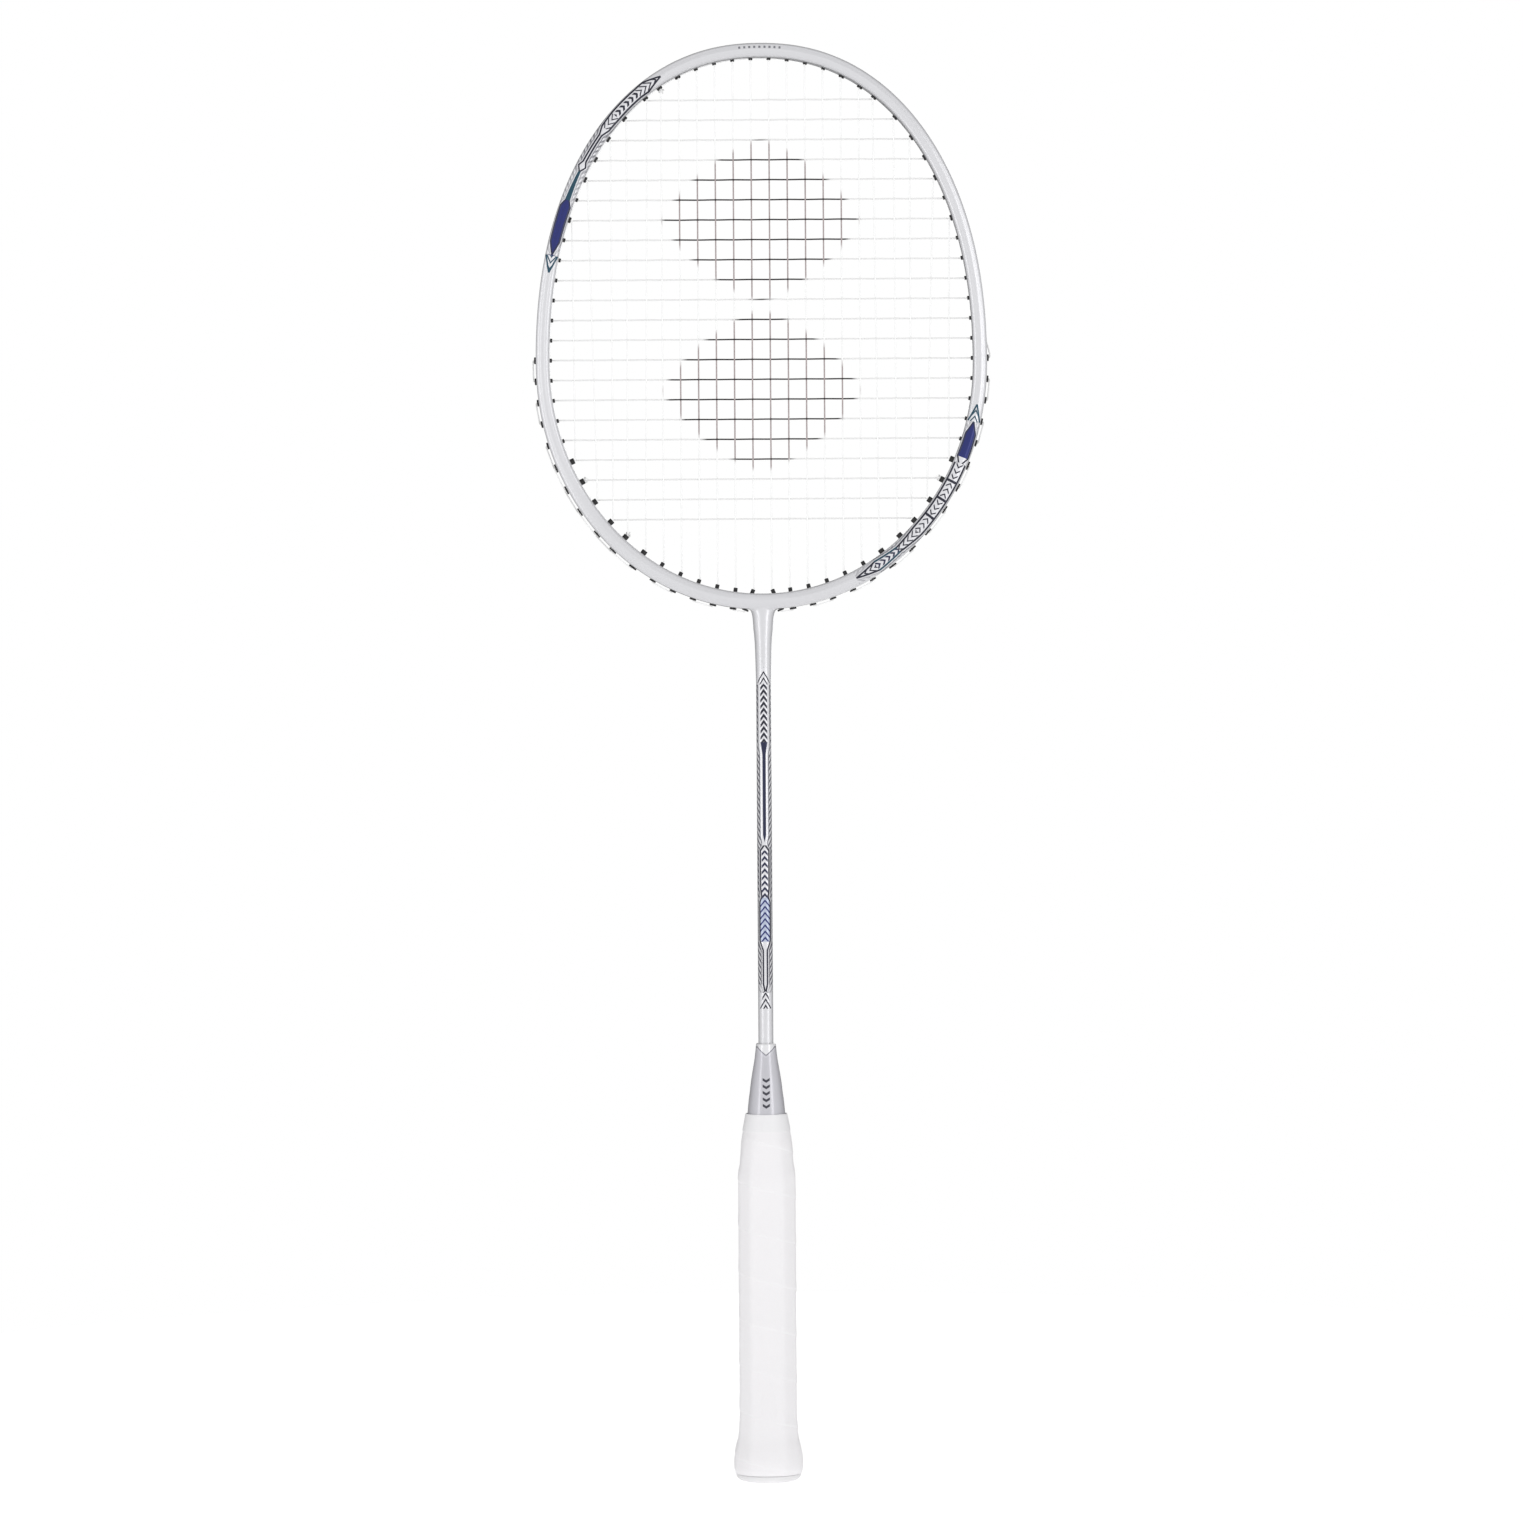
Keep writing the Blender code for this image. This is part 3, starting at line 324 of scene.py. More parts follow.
def string_pattern():
    """X of each main and Z of each cross, from the inside of the head."""
    pitch = OUTER_MAIN_SHARE * (HALF_WIDTH - RIM_WIDTH_UPPER) / (HALF_MAINS - 0.5)
    mains = [(order + 0.5) * pitch for order in range(HALF_MAINS)]
    top = TOTAL_LENGTH - RIM_WIDTH_UPPER - FIRST_CROSS_DROP
    bottom = HEAD_BOTTOM + RIM_WIDTH_BOTTOM + LAST_CROSS_RISE
    return mains, list(np.linspace(top, bottom, CROSSINGS))


def slanted_hole(side, x):
    """The innermost bottom hole leans outwards, so that its flange clears the throat."""
    outer_x = (SHAFT_RADIUS + THROAT_OUTLINE[-2][1] * MM + NARROW_BARREL + FLANGE_RIM
               + FIT_GAP)
    s = rim.where("x", outer_x, -RIM_WIDTH_BOTTOM, False)
    depth = rim.value(rim.width, s) + LONG_BARREL + STRING_LEAD
    straight = rim.point(s, 1, depth).x
    slant = (x - straight) / (rim.value(rim.tangent_x, s) * depth)
    return Hole(side, s, False, LONG_BARREL, False, slant)


def drill_plan(side):
    """All holes of one side, by the string that sets their place."""
    mains, crosses = string_pattern()
    holes = {}
    for number, z in enumerate(crosses, 1):
        reach = LONG_BARREL if number in LONG_CROSSES else SHORT_BARREL
        s = rim.where("z", z, reach + STRING_LEAD, True)
        holes["cross", number] = Hole(
            side, s, number in CROSSES_WIDE, reach, number <= LAST_GROOVE_CROSS)
    for number, x in enumerate(mains, 1):
        for end, shared, wide, reach, top in (
            ("top", TOP_SHARED, TOP_MAINS_WIDE, SHORT_BARREL, True),
            ("bottom", BOTTOM_SHARED, BOTTOM_MAINS_WIDE, LONG_BARREL, False),
        ):
            if number in shared:
                holes[end, number] = holes["cross", shared[number]]
            elif number == 1 and not top:
                holes[end, number] = slanted_hole(side, x)
            else:
                s = rim.where("x", x, reach + STRING_LEAD, top)
                holes[end, number] = Hole(side, s, number in wide, reach, top)
    return holes


# --- nodes in shorthand
class Flow:
    """A value in a node tree; arithmetic on it adds Math nodes."""

    def __init__(self, recipe, socket):
        self.recipe, self.socket = recipe, socket

    def math(self, operation, *others):
        return self.recipe.math(operation, self, *others)

    def line(self, slope, start):
        """This value times a slope, plus a start."""
        return self.math("MULTIPLY_ADD", slope, start)

    def fold(self):
        """A wave that climbs from 0 to 0.5 and falls back."""
        return self.math("PINGPONG", 0.5)

    def most(self, other):
        return self.math("MAXIMUM", other)

    def __add__(self, other):
        return self.math("ADD", other)

    def __sub__(self, other):
        return self.math("SUBTRACT", other)

    def __rsub__(self, other):
        return self.recipe.math("SUBTRACT", other, self)

    def __mul__(self, other):
        return self.math("MULTIPLY", other)

    def __truediv__(self, other):
        return self.math("DIVIDE", other)

    def __pow__(self, other):
        return self.math("POWER", other)

    def __abs__(self):
        return self.math("ABSOLUTE")


class Recipe:
    """Adds nodes to a tree and links them up to its end node."""

    def __init__(self, tree, end, made):
        self.tree, self.end, self.made = tree, end, made

    def feed(self, socket, value):
        """Give an input a flow, a number or a colour; None leaves it alone."""
        if isinstance(value, Flow):
            self.tree.links.new(value.socket, socket)
        elif value is not None:
            if socket.type == "RGBA" and len(value) == 3:
                value = (*value, 1.0)
            socket.default_value = value

    def fill(self, node, values):
        """Feed a node's inputs by name, written with _ for a space."""
        for name, value in values.items():
            self.feed(node.inputs[name.replace("_", " ")], value)
        return node

    def give(self, **values):
        """Feed the end node, and hand back what the tree belongs to."""
        self.fill(self.end, values)
        return self.made

    def add(self, kind, inputs=None, **settings):
        node = self.tree.nodes.new(kind)
        for name, value in settings.items():
            setattr(node, name, value)
        for name, value in (inputs or {}).items():
            self.feed(node.inputs[name], value)
        return node

    def get(self, kind, inputs=None, out=0, **settings):
        """One output of a new node."""
        return Flow(self, self.add(kind, inputs, **settings).outputs[out])

    def flows(self, node):
        return [Flow(self, socket) for socket in node.outputs]

    def math(self, operation, *values):
        return self.get("ShaderNodeMath", dict(enumerate(values)), operation=operation)

    def less(self, small, large, blur):
        """1 where small is less than large, with a soft edge."""
        return self.clamp(self.math("SUBTRACT", large, small).line(1.0 / blur, 0.5))

    def clamp(self, value):
        return self.get("ShaderNodeClamp", {"Value": value})

    def mix(self, share, first, second):
        """A colour between two others; the node has them on its inputs 6 and 7."""
        return self.get("ShaderNodeMix", {0: share, 6: first, 7: second}, 2, data_type="RGBA")

    def ramp(self, share, stops, interpolation="LINEAR"):
        """A colour ramp; a stop is a place and a number or a colour."""
        node = self.add("ShaderNodeValToRGB", {"Fac": share})
        band = node.color_ramp
        band.interpolation = interpolation
        while len(band.elements) < len(stops):
            band.elements.new(1.0)
        for element, (place, value) in zip(band.elements, stops):
            element.position = place
            colour = value if isinstance(value, tuple) else (value,) * 3
            element.color = (*colour, 1.0)
        return Flow(self, node.outputs[0])

    def noise(self, place, scale, detail=2.0):
        return self.get("ShaderNodeTexNoise", {
            "Vector": place, "Scale": scale, "Detail": detail}, "Fac")

    def attribute(self, name):
        return self.get("ShaderNodeAttribute", None, "Fac", attribute_name=name)

    def split(self, vector):
        return self.flows(self.add("ShaderNodeSeparateXYZ", {"Vector": vector}))

    def scaled(self, colour, factor):
        return self.get("ShaderNodeVectorMath", {0: colour, "Scale": factor}, operation="SCALE")

    def group(self, tree, **inputs):
        """The outputs of a node group, in order."""
        return self.flows(self.fill(self.add("ShaderNodeGroup", node_tree=tree), inputs))

    def bump(self, height, strength, distance):
        return self.get("ShaderNodeBump", {
            "Height": height, "Strength": strength, "Distance": distance})


def new_group(name, kind, inputs, outputs):
    """The recipe of a node group, and its input values by name."""
    tree = bpy.data.node_groups.new(name, kind)
    for way, sockets in (("INPUT", inputs), ("OUTPUT", outputs)):
        for label, form, *value in sockets:
            made = tree.interface.new_socket(
                name=label, in_out=way, socket_type=f"NodeSocket{form}")
            if value:
                made.default_value = value[0]
    r = Recipe(tree, tree.nodes.new("NodeGroupOutput"), tree)
    return r, {socket.name: Flow(r, socket) for socket in r.add("NodeGroupInput").outputs}


def new_material(name, **settings):
    """The recipe of a material with one Principled shader, and the place on the object."""
    made = bpy.data.materials.new(name)
    made.use_nodes = True
    r = Recipe(made.node_tree, made.node_tree.nodes["Principled BSDF"], made)
    r.give(**settings)
    return r, r.get("ShaderNodeTexCoord", None, "Object")


# --- shared finishes
def pearl_fleck_group():
    """Fine mica fleck and slow drift of tone in a sprayed pearl lacquer."""
    r, given = new_group("pearl_fleck", "ShaderNodeTree", (
        ("Place", "Vector"), ("Tone", "Color", (0.8, 0.8, 0.8, 1.0)),
        ("Fleck", "Float", 0.06), ("Gloss", "Float", 0.26),
    ), (("Color", "Color"), ("Roughness", "Float")))
    fleck = r.noise(given["Place"], 9000.0, 1.0)
    drift = r.noise(given["Place"], 28.0, 3.0)
    lift = (drift - 0.5).line(0.05, (fleck - 0.5).line(given["Fleck"], 1.0))
    return r.give(Color=r.scaled(given["Tone"], lift),
                  Roughness=drift.line(0.08, given["Gloss"]))


def chevron_rows_group():
    """Rows of V-shaped lines along a band; 1 on a line. Lengths are in millimetres."""
    r, given = new_group("chevron_rows", "ShaderNodeTree", (
        ("Along", "Float", 0.0), ("Across", "Float", 0.0), ("Pitch", "Float", 2.0),
        ("Slope", "Float", 1.5), ("Share", "Float", 0.4),
    ), (("Mask", "Float"),))
    place = (given["Along"] + given["Across"] * given["Slope"]) / given["Pitch"]
    return r.give(Mask=r.less(place.fold(), given["Share"].line(0.5, -0.04), 0.08))


def skin_grain_group():
    """Fine pores and soft creases of a coated tape or a moulded skin."""
    r, given = new_group("skin_grain", "ShaderNodeTree", (
        ("Place", "Vector"), ("Tone", "Color", (0.8, 0.8, 0.8, 1.0)),
        ("Pores", "Float", 900.0), ("Soil", "Float", 0.04),
    ), (("Color", "Color"), ("Height", "Float")))
    cells = r.get("ShaderNodeTexVoronoi", {
        "Vector": given["Place"], "Scale": given["Pores"]}, "Distance")
    creases = r.noise(given["Place"], 240.0, 4.0)
    patches = r.noise(given["Place"], 35.0, 3.0)
    pore = cells * 0.6
    shade = pore.line(0.03, (patches - 0.5) * given["Soil"]) + 1.0
    return r.give(Color=r.scaled(given["Tone"], shade), Height=creases.line(0.7, pore))


# --- printed ornaments
INK = (0.012, 0.013, 0.03)
NAVY = (0.012, 0.016, 0.06)
ROYAL = (0.010, 0.018, 0.155)
TEAL = (0.008, 0.06, 0.10)
GREY = (0.045, 0.045, 0.07)
PALE = (0.50, 0.56, 0.70)
CLEAR = (0.80, 0.80, 0.83)

# Each row of an ornament: length, half width at its two ends, fill, outline, hatch beside
# the band, slope of its chevrons, share of the row that they cover, how far they reach
# across the band, their colour. Values left out at the end of a row are those of ROW_REST.
ROW_REST = (0.0, 0.0, 0.0, 1.0, INK)
UPPER_ORNAMENT = (
    (9.0, 0.0, 2.6, CLEAR, INK, 0.0, -1.5, 0.45),
    (5.0, 2.6, 2.3, CLEAR, INK, 0.6, -1.4, 0.42, 0.8),
    (15.0, 2.3, 2.3, CLEAR, INK, 0.8, -0.9, 0.56, 0.62),
    (8.0, 2.3, 2.0, CLEAR, INK, 0.8, 1.5, 0.40, 0.8), (4.0, 2.0, 0.6, CLEAR, INK, 0.8),
    (15.0, 0.6, 0.7, CLEAR, INK, 0.8), (2.5, 0.7, 1.8, CLEAR, INK, 0.6),
    (2.5, 1.8, 0.3, CLEAR, INK, 0.6), (15.0, 0.2, 0.8, TEAL, TEAL, 0.5),
    (3.0, 0.8, 2.2, ROYAL, NAVY, 0.5), (18.0, 2.3, 2.1, ROYAL, NAVY, 0.7),
    (6.5, 2.1, 0.0, ROYAL, NAVY, 0.4), (8.5, 2.8, 0.0, CLEAR, TEAL, 0.0, 1.6, 0.46, 1.0, TEAL),
)
LOWER_ORNAMENT = (
    (8.5, 0.0, 2.8, CLEAR, TEAL, 0.0, -1.6, 0.46, 1.0, TEAL), (6.0, 0.0, 2.3, ROYAL, NAVY, 0.4),
    (12.0, 2.3, 2.5, ROYAL, NAVY, 0.7), (3.0, 2.5, 0.9, CLEAR, INK),
    (8.8, 2.5, 2.5, CLEAR, INK, 0.0, 1.1, 0.40, 0.62), (1.2, 2.5, 2.5, INK, INK),
    (8.8, 2.5, 2.5, CLEAR, INK, 0.0, -1.1, 0.40, 0.62), (1.2, 2.5, 2.5, INK, INK),
    (8.8, 2.5, 2.5, CLEAR, INK, 0.0, 1.1, 0.40, 0.62), (1.2, 2.5, 2.5, INK, INK),
    (8.8, 2.5, 2.5, CLEAR, INK, 0.0, -1.1, 0.40, 0.62),
    (13.0, 2.5, 1.3, CLEAR, INK, 0.7, 1.4, 0.42, 0.75),
    (13.0, 1.3, 2.3, CLEAR, TEAL, 0.8, -1.2, 0.52, 0.7, NAVY),
    (12.0, 2.3, 0.0, CLEAR, INK, 0.4, 1.5, 0.45),
)
SHAFT_ORNAMENT = (
    (8.5, 0.3, 3.9, CLEAR, CLEAR, 0.0, -1.6, 0.45),
    (27.0, 2.1, 2.1, CLEAR, CLEAR, 1.0, -1.3, 0.66), (6.0, 2.2, 1.2, NAVY, CLEAR, 0.8),
    (38.0, 1.2, 1.15, NAVY, CLEAR, 1.0), (4.5, 1.15, 0.2, NAVY, CLEAR, 1.0),
    (2.5, 0.2, 2.1, CLEAR, INK, 1.0, -1.5, 0.4),
    (18.0, 2.1, 2.1, CLEAR, INK, 1.0, -1.1, 0.56, 0.72, NAVY),
    (4.0, 2.1, 1.5, CLEAR, INK, 1.0, -1.1, 0.56, 1.0, NAVY),
    (2.5, 1.5, 2.7, PALE, INK, 0.6, -1.2, 0.45, 1.0, ROYAL),
    (18.0, 2.7, 2.7, PALE, INK, 0.6, -1.2, 0.46, 1.0, ROYAL), (4.5, 2.7, 1.0, CLEAR, INK, 1.0),
    (16.0, 1.0, 1.0, CLEAR, INK, 1.0), (3.5, 1.0, 0.2, CLEAR, INK, 0.5),
    (8.0, 1.2, 3.4, CLEAR, CLEAR, 0.0, -1.6, 0.50),
)
UPPER_START = 50.5 * MM           # along the rim from the top of the head
LOWER_START = 227.0 * MM
SHAFT_ORNAMENT_TOP = 382.4 * MM
RIM_TOP_ZONE = 660 * MM           # only above this are there dashes on the rim
CONE_MARK_TOP = 190.5 * MM

# The painted patterns below are in plain millimetres.
CHEVRON_PITCH = HATCH_PITCH = 2.9
SHAFT_HATCH_REACH, RIM_HATCH_REACH = 4.6, 3.0
HATCH_GAP = 0.75                  # between the band and its hatch
EDGE_HALF, SECOND_LINE, SECOND_HALF = 0.42, 1.1, 0.22
RIM_DASH_SHIFT = 1.1
# Start, end, half width, pitch and slope of a short row of plain marks.
RIM_DASHES = (-0.1, 11.4, 0.55, 2.4, 0.0)
CONE_MARKS = (1.3, 16.4, 1.7, 3.0, 0.6)

HATCH_SLOPE, HATCH_SHARE = 1.4, 0.55
HATCH_INK, DASH_INK = 0.88, 0.75  # how strongly they cover
WIDEST_BAND = 4.0                 # half width that a ramp value of 1 stands for
STEEPEST = 2.0                    # slope that a ramp value of 1 stands for


def ornament(r, chevrons, base, along, across, rows, reach):
    """Paint one printed ornament over a base colour. Lengths are in millimetres."""
    total = sum(row[0] for row in rows)
    widths, columns, start = [], [[] for _ in range(5)], 0.0
    for row in rows:
        length, low, high, fill, line, hatch, slope, cover, core, ink = (
            row + ROW_REST[len(row) - 5:])
        first, last = start / total, (start + length) / total - 1e-4
        widths += [(first, low / WIDEST_BAND), (last, high / WIDEST_BAND)]
        mark = (slope / STEEPEST / 2 + 0.5, cover, hatch)
        for column, value in zip(columns, (fill, line, mark, core, ink)):
            column.append((first, value))
        start += length
    share = along / total
    half = r.ramp(share, widths) * WIDEST_BAND
    fill, line, mark, core, ink = (r.ramp(share, column, "CONSTANT") for column in columns)
    slope, cover, hatched = r.flows(r.add("ShaderNodeSeparateColor", {"Color": mark}))
    off_centre = abs(across)
    inside = r.less(off_centre, half, 0.15)
    marks = r.group(chevrons, Along=along, Across=off_centre, Pitch=CHEVRON_PITCH,
                    Slope=(slope - 0.5) * (STEEPEST * 2), Share=cover)[0]
    marks *= r.less(off_centre, half * core, 0.15)
    hatch = r.group(chevrons, Along=along, Across=off_centre, Pitch=HATCH_PITCH,
                    Slope=HATCH_SLOPE, Share=HATCH_SHARE)[0]
    near = r.less(off_centre, reach, 0.3) * r.less(half + HATCH_GAP, off_centre, 0.15)
    from_edge = off_centre - half
    edge = r.less(abs(from_edge), EDGE_HALF, 0.12)
    second_line = r.less(abs(from_edge - SECOND_LINE), SECOND_HALF, 0.1)
    hatch = (hatch * hatched * near).most(second_line * hatched)
    colour = r.mix(hatch * HATCH_INK, base, GREY)
    colour = r.mix(inside, colour, fill)
    colour = r.mix(inside * marks, colour, ink)
    colour = r.mix(edge, colour, line)
    return r.mix(r.less(0.0, along, 0.1) * r.less(along, total, 0.1), base, colour)


def plain_marks(r, chevrons, along, off_centre, start, end, half, pitch, slope):
    """Mask of a short row of plain marks. Lengths are in millimetres."""
    marks = r.group(chevrons, Along=along, Across=off_centre, Pitch=pitch, Slope=slope,
                    Share=0.5)[0]
    return (marks * r.less(off_centre, half, 0.12) * r.less(start, along, 0.1)
            * r.less(along, end, 0.1))


def pearl_lacquer(fleck, chevrons):
    """White pearl lacquer of the head and shaft, with its printed ornaments."""
    r, place = new_material("pearl_lacquer", Metallic=0.5, Specular_IOR_Level=0.2,
                            Coat_Weight=0.7, Coat_Roughness=0.08)
    tone, rough = r.group(fleck, Place=place, Tone=(0.75, 0.75, 0.775), Fleck=0.05, Gloss=0.30)
    x, y, z = r.split(place)
    across = x.math("ARCTAN2", abs(y)) * (SHAFT_RADIUS / MM)
    colour = ornament(r, chevrons, tone, (SHAFT_ORNAMENT_TOP - z) * (1 / MM), across,
                      SHAFT_ORNAMENT, SHAFT_HATCH_REACH)
    along, across, side = (r.attribute(f"rim_{word}") for word in ("along", "across", "side"))
    for rows, start, way in ((UPPER_ORNAMENT, UPPER_START, -1.0),
                             (LOWER_ORNAMENT, LOWER_START, 1.0)):
        painted = ornament(r, chevrons, tone, (along - start) * (1 / MM), across, rows,
                           RIM_HATCH_REACH)
        colour = r.mix(r.less(0.5, side * way, 0.1), colour, painted)
    dashes = plain_marks(r, chevrons, along * (1 / MM), abs(across + RIM_DASH_SHIFT), *RIM_DASHES)
    dashes *= r.less(RIM_TOP_ZONE, z, SOFT_EDGE) * r.less(y, 0.0, SOFT_EDGE)
    return r.give(Base_Color=r.mix(dashes * DASH_INK, colour, GREY), Roughness=rough,
                  Normal=r.bump(r.noise(place, 700.0, 1.0), 0.04, 0.0003))


def cone_lacquer(fleck, chevrons):
    """Grey lilac pearl of the cone: a fine line that dips at front and back, a plain mark."""
    r, place = new_material("cone_lacquer", Metallic=0.25, Coat_Weight=1.0, Coat_Roughness=0.06)
    tone, rough = r.group(fleck, Place=place, Tone=(0.60, 0.595, 0.64), Fleck=0.12, Gloss=0.24)
    x, y, z = r.split(place)
    dip = (1.0 - abs(x).math("ARCTAN2", abs(y)) * 1.05) * (3.8 * MM)
    line_height = GRIP_TOP + CONE_LENGTH - 1.6 * MM - dip.most(0.0)
    off_line = abs(z - line_height)
    second = r.less(abs(off_line - 1.1 * MM), 0.12 * MM, 0.1 * MM)
    colour = r.mix(r.less(line_height, z, 0.1 * MM), tone, (0.84, 0.84, 0.86))
    colour = r.mix(r.less(off_line, 0.22 * MM, 0.12 * MM), colour, (0.10, 0.10, 0.14))
    colour = r.mix(second * 0.5, colour, (0.85, 0.85, 0.9))
    marks = plain_marks(r, chevrons, (CONE_MARK_TOP - z) * (1 / MM), abs(x) * (1 / MM),
                        *CONE_MARKS)
    colour = r.mix(marks * r.less(y, 0.0, SOFT_EDGE), colour, INK)
    return r.give(Base_Color=colour, Roughness=rough)


def grained(grain, name, tone, pores, soil, roughness, depth):
    """A coated tape or moulded plastic with fine grain."""
    r, place = new_material(name)
    colour, height = r.group(grain, Place=place, Tone=tone, Pores=pores, Soil=soil)
    return r.give(Base_Color=colour, Normal=r.bump(height, 0.35, depth),
                  Roughness=r.noise(place, 60.0).line(0.12, roughness))


LOZENGE_HEIGHTS = (592 * MM, 512 * MM)
LOZENGE_HALF_WIDTH, LOZENGE_HALF_HEIGHT = 46 * MM, 38 * MM
LOZENGE_POWER = 1.35              # 1 has straight sides, 2 is an ellipse


def string_nylon(name, ink, strength, painted_glow):
    """Pale braided nylon with a painted glow: emission lightens the bare string as if light shone
    through it; ink marks two plain lozenges on the middle of the bed.
    """
    r, place = new_material(name, Emission_Strength=1.0)
    x, _, z = r.split(place)
    span = (abs(x) / LOZENGE_HALF_WIDTH) ** LOZENGE_POWER
    upper, lower = (
        r.less(span + (abs(z - height) / LOZENGE_HALF_HEIGHT) ** LOZENGE_POWER, 1.0, 0.09)
        for height in LOZENGE_HEIGHTS)
    along, around = r.attribute("along"), r.attribute("around")
    one_way, other_way = (around.line(turns, along * 900.0).fold() for turns in (6.0, -6.0))
    braid = one_way.most(other_way)
    worn = r.noise(place, 1500.0)
    cover = r.clamp(upper.most(lower) * worn.line(0.3, strength))
    plain = r.mix(braid, (0.80, 0.80, 0.80), (0.90, 0.90, 0.90))
    # Emission_Color is a painted glow on the bare string, lightening it as if light came through
    # the nylon; where ink covers the string there is no glow.
    return r.give(Base_Color=r.mix(cover, plain, ink),
                  Emission_Color=r.mix(cover, (painted_glow,) * 3, (0.0, 0.0, 0.0)),
                  Normal=r.bump(braid, 0.3, 0.00004), Roughness=worn.line(0.1, 0.28))


def handle_wood():
    """Pale straight-grained wood of the handle core."""
    r, place = new_material("handle_wood")
    stretched = r.get("ShaderNodeMapping", {"Vector": place, "Scale": (1.0, 1.0, 0.06)})
    rings = r.get("ShaderNodeTexWave", {
        "Vector": stretched, "Scale": 120.0, "Distortion": 5.0, "Detail": 3.0}, "Fac")
    fibre = r.noise(stretched, 2500.0, 3.0)
    colour = r.mix(rings, (0.46, 0.30, 0.16), (0.63, 0.46, 0.28))
    return r.give(Base_Color=r.mix(fibre * 0.35, colour, (0.36, 0.23, 0.12)),
                  Roughness=fibre.line(0.2, 0.55), Normal=r.bump(fibre, 0.3, 0.0001))


def turned_metal():
    """Dark metal of the pin, with fine marks from turning."""
    r, place = new_material("t_joint_metal", Metallic=0.9)
    marks = (r.split(place)[2] * 3500.0).fold()
    haze = r.noise(place, 400.0)
    return r.give(Base_Color=r.mix(haze, (0.30, 0.30, 0.31), (0.42, 0.42, 0.44)),
                  Roughness=haze.line(0.2, 0.28), Normal=r.bump(marks, 0.25, 0.00005))


def badge_film():
    """Round film on the butt: plain rings of grey-blue, with no mark."""
    r, place = new_material("badge_film", Coat_Weight=0.6)
    x, y, _ = r.split(place)
    radius = (x * x + y * y).math("SQRT")
    pale, rim_tone = (0.75, 0.76, 0.80), (0.78, 0.79, 0.82)
    rings = r.ramp(radius / BADGE_RADIUS, (
        (0.0, (0.32, 0.34, 0.42)), (0.40, (0.30, 0.32, 0.40)), (0.43, pale), (0.50, pale),
        (0.53, (0.20, 0.22, 0.32)), (0.86, (0.16, 0.18, 0.28)), (0.90, rim_tone),
        (1.0, rim_tone)))
    return r.give(Base_Color=r.mix(r.noise(place, 900.0) * 0.2, rings, (0.5, 0.52, 0.58)),
                  Roughness=(radius * 5000.0).fold().line(0.1, 0.25))


# --- geometry trees
def finished(r, shape, material):
    """The end of both trees: smooth shading, real faces, one material."""
    shape = r.get("GeometryNodeSetShadeSmooth", {"Geometry": shape})
    shape = r.get("GeometryNodeRealizeInstances", {"Geometry": shape})
    return r.get("GeometryNodeSetMaterial", {"Geometry": shape, "Material": material})


def tube_tree():
    """Round tube along every polyline, with its length and turn kept for the braid."""
    r, given = new_group("tube_along_route", "GeometryNodeTree", (
        ("Route", "Geometry"), ("Radius", "Float", STRING_RADIUS),
        ("Sides", "Int", STRING_SIDES), ("Finish", "Material"),
    ), (("Tube", "Geometry"),))

    def marked(curve, name, measure):
        value = r.get("GeometryNodeSplineParameter", None, measure)
        return r.get("GeometryNodeStoreNamedAttribute", {
            "Geometry": curve, "Name": name, "Value": value}, domain="POINT")

    route = r.get("GeometryNodeMeshToCurve", {"Mesh": given["Route"]})
    circle = r.get("GeometryNodeCurvePrimitiveCircle", {
        "Resolution": given["Sides"], "Radius": given["Radius"]})
    tube = r.get("GeometryNodeCurveToMesh", {
        "Curve": marked(route, "along", "Length"),
        "Profile Curve": marked(circle, "around", "Factor"), "Fill Caps": True})
    return r.give(Tube=finished(r, tube, given["Finish"]))


def grommet_tree():
    """A flanged barrel at every point, lined up with the point's own axis."""
    r, given = new_group("flanged_barrels", "GeometryNodeTree", (
        ("Places", "Geometry"), ("Bore", "Float", NARROW_BORE),
        ("Barrel", "Float", NARROW_BARREL), ("Flange", "Float", NARROW_BARREL + FLANGE_RIM),
        ("Flange thickness", "Float", FLANGE_THICKNESS), ("Face", "Float", FLANGE_FACE),
        ("Length", "Float", 10 * MM), ("Edge", "Float", 0.16 * MM), ("Finish", "Material"),
    ), (("Grommets", "Geometry"),))

    def ring(outer, height, low):
        box = r.get("GeometryNodeCurvePrimitiveQuadrilateral", {
            "Width": outer - given["Bore"], "Height": height})
        soft = r.get("GeometryNodeFilletCurve", {
            "Curve": box, "Radius": given["Edge"], "Count": 2}, mode="POLY")
        circle = r.get("GeometryNodeCurvePrimitiveCircle", {
            "Resolution": 24, "Radius": (outer + given["Bore"]) * 0.5})
        swept = r.get("GeometryNodeCurveToMesh", {"Curve": circle, "Profile Curve": soft})
        lift = r.get("ShaderNodeCombineXYZ", {"Z": height.line(0.5, low)})
        return r.get("GeometryNodeTransform", {"Geometry": swept, "Translation": lift})

    axis = r.get("GeometryNodeInputNamedAttribute", {"Name": "into_head"},
                 data_type="FLOAT_VECTOR")
    turn = r.get("FunctionNodeAlignRotationToVector", {"Vector": axis}, axis="Z")
    length = r.get("GeometryNodeInputNamedAttribute", {"Name": "barrel_length"},
                   data_type="FLOAT")
    stretch = r.get("ShaderNodeCombineXYZ", {"X": 1.0, "Y": 1.0, "Z": length / given["Length"]})
    both = r.add("GeometryNodeJoinGeometry")
    for shape, scale in (
        (ring(given["Flange"], given["Flange thickness"], given["Face"]), None),
        (ring(given["Barrel"], given["Length"], 0.0), stretch),
    ):
        r.feed(both.inputs[0], r.get("GeometryNodeInstanceOnPoints", {
            "Points": given["Places"], "Instance": shape, "Rotation": turn, "Scale": scale}))
    return r.give(Grommets=finished(r, r.flows(both)[0], given["Finish"]))


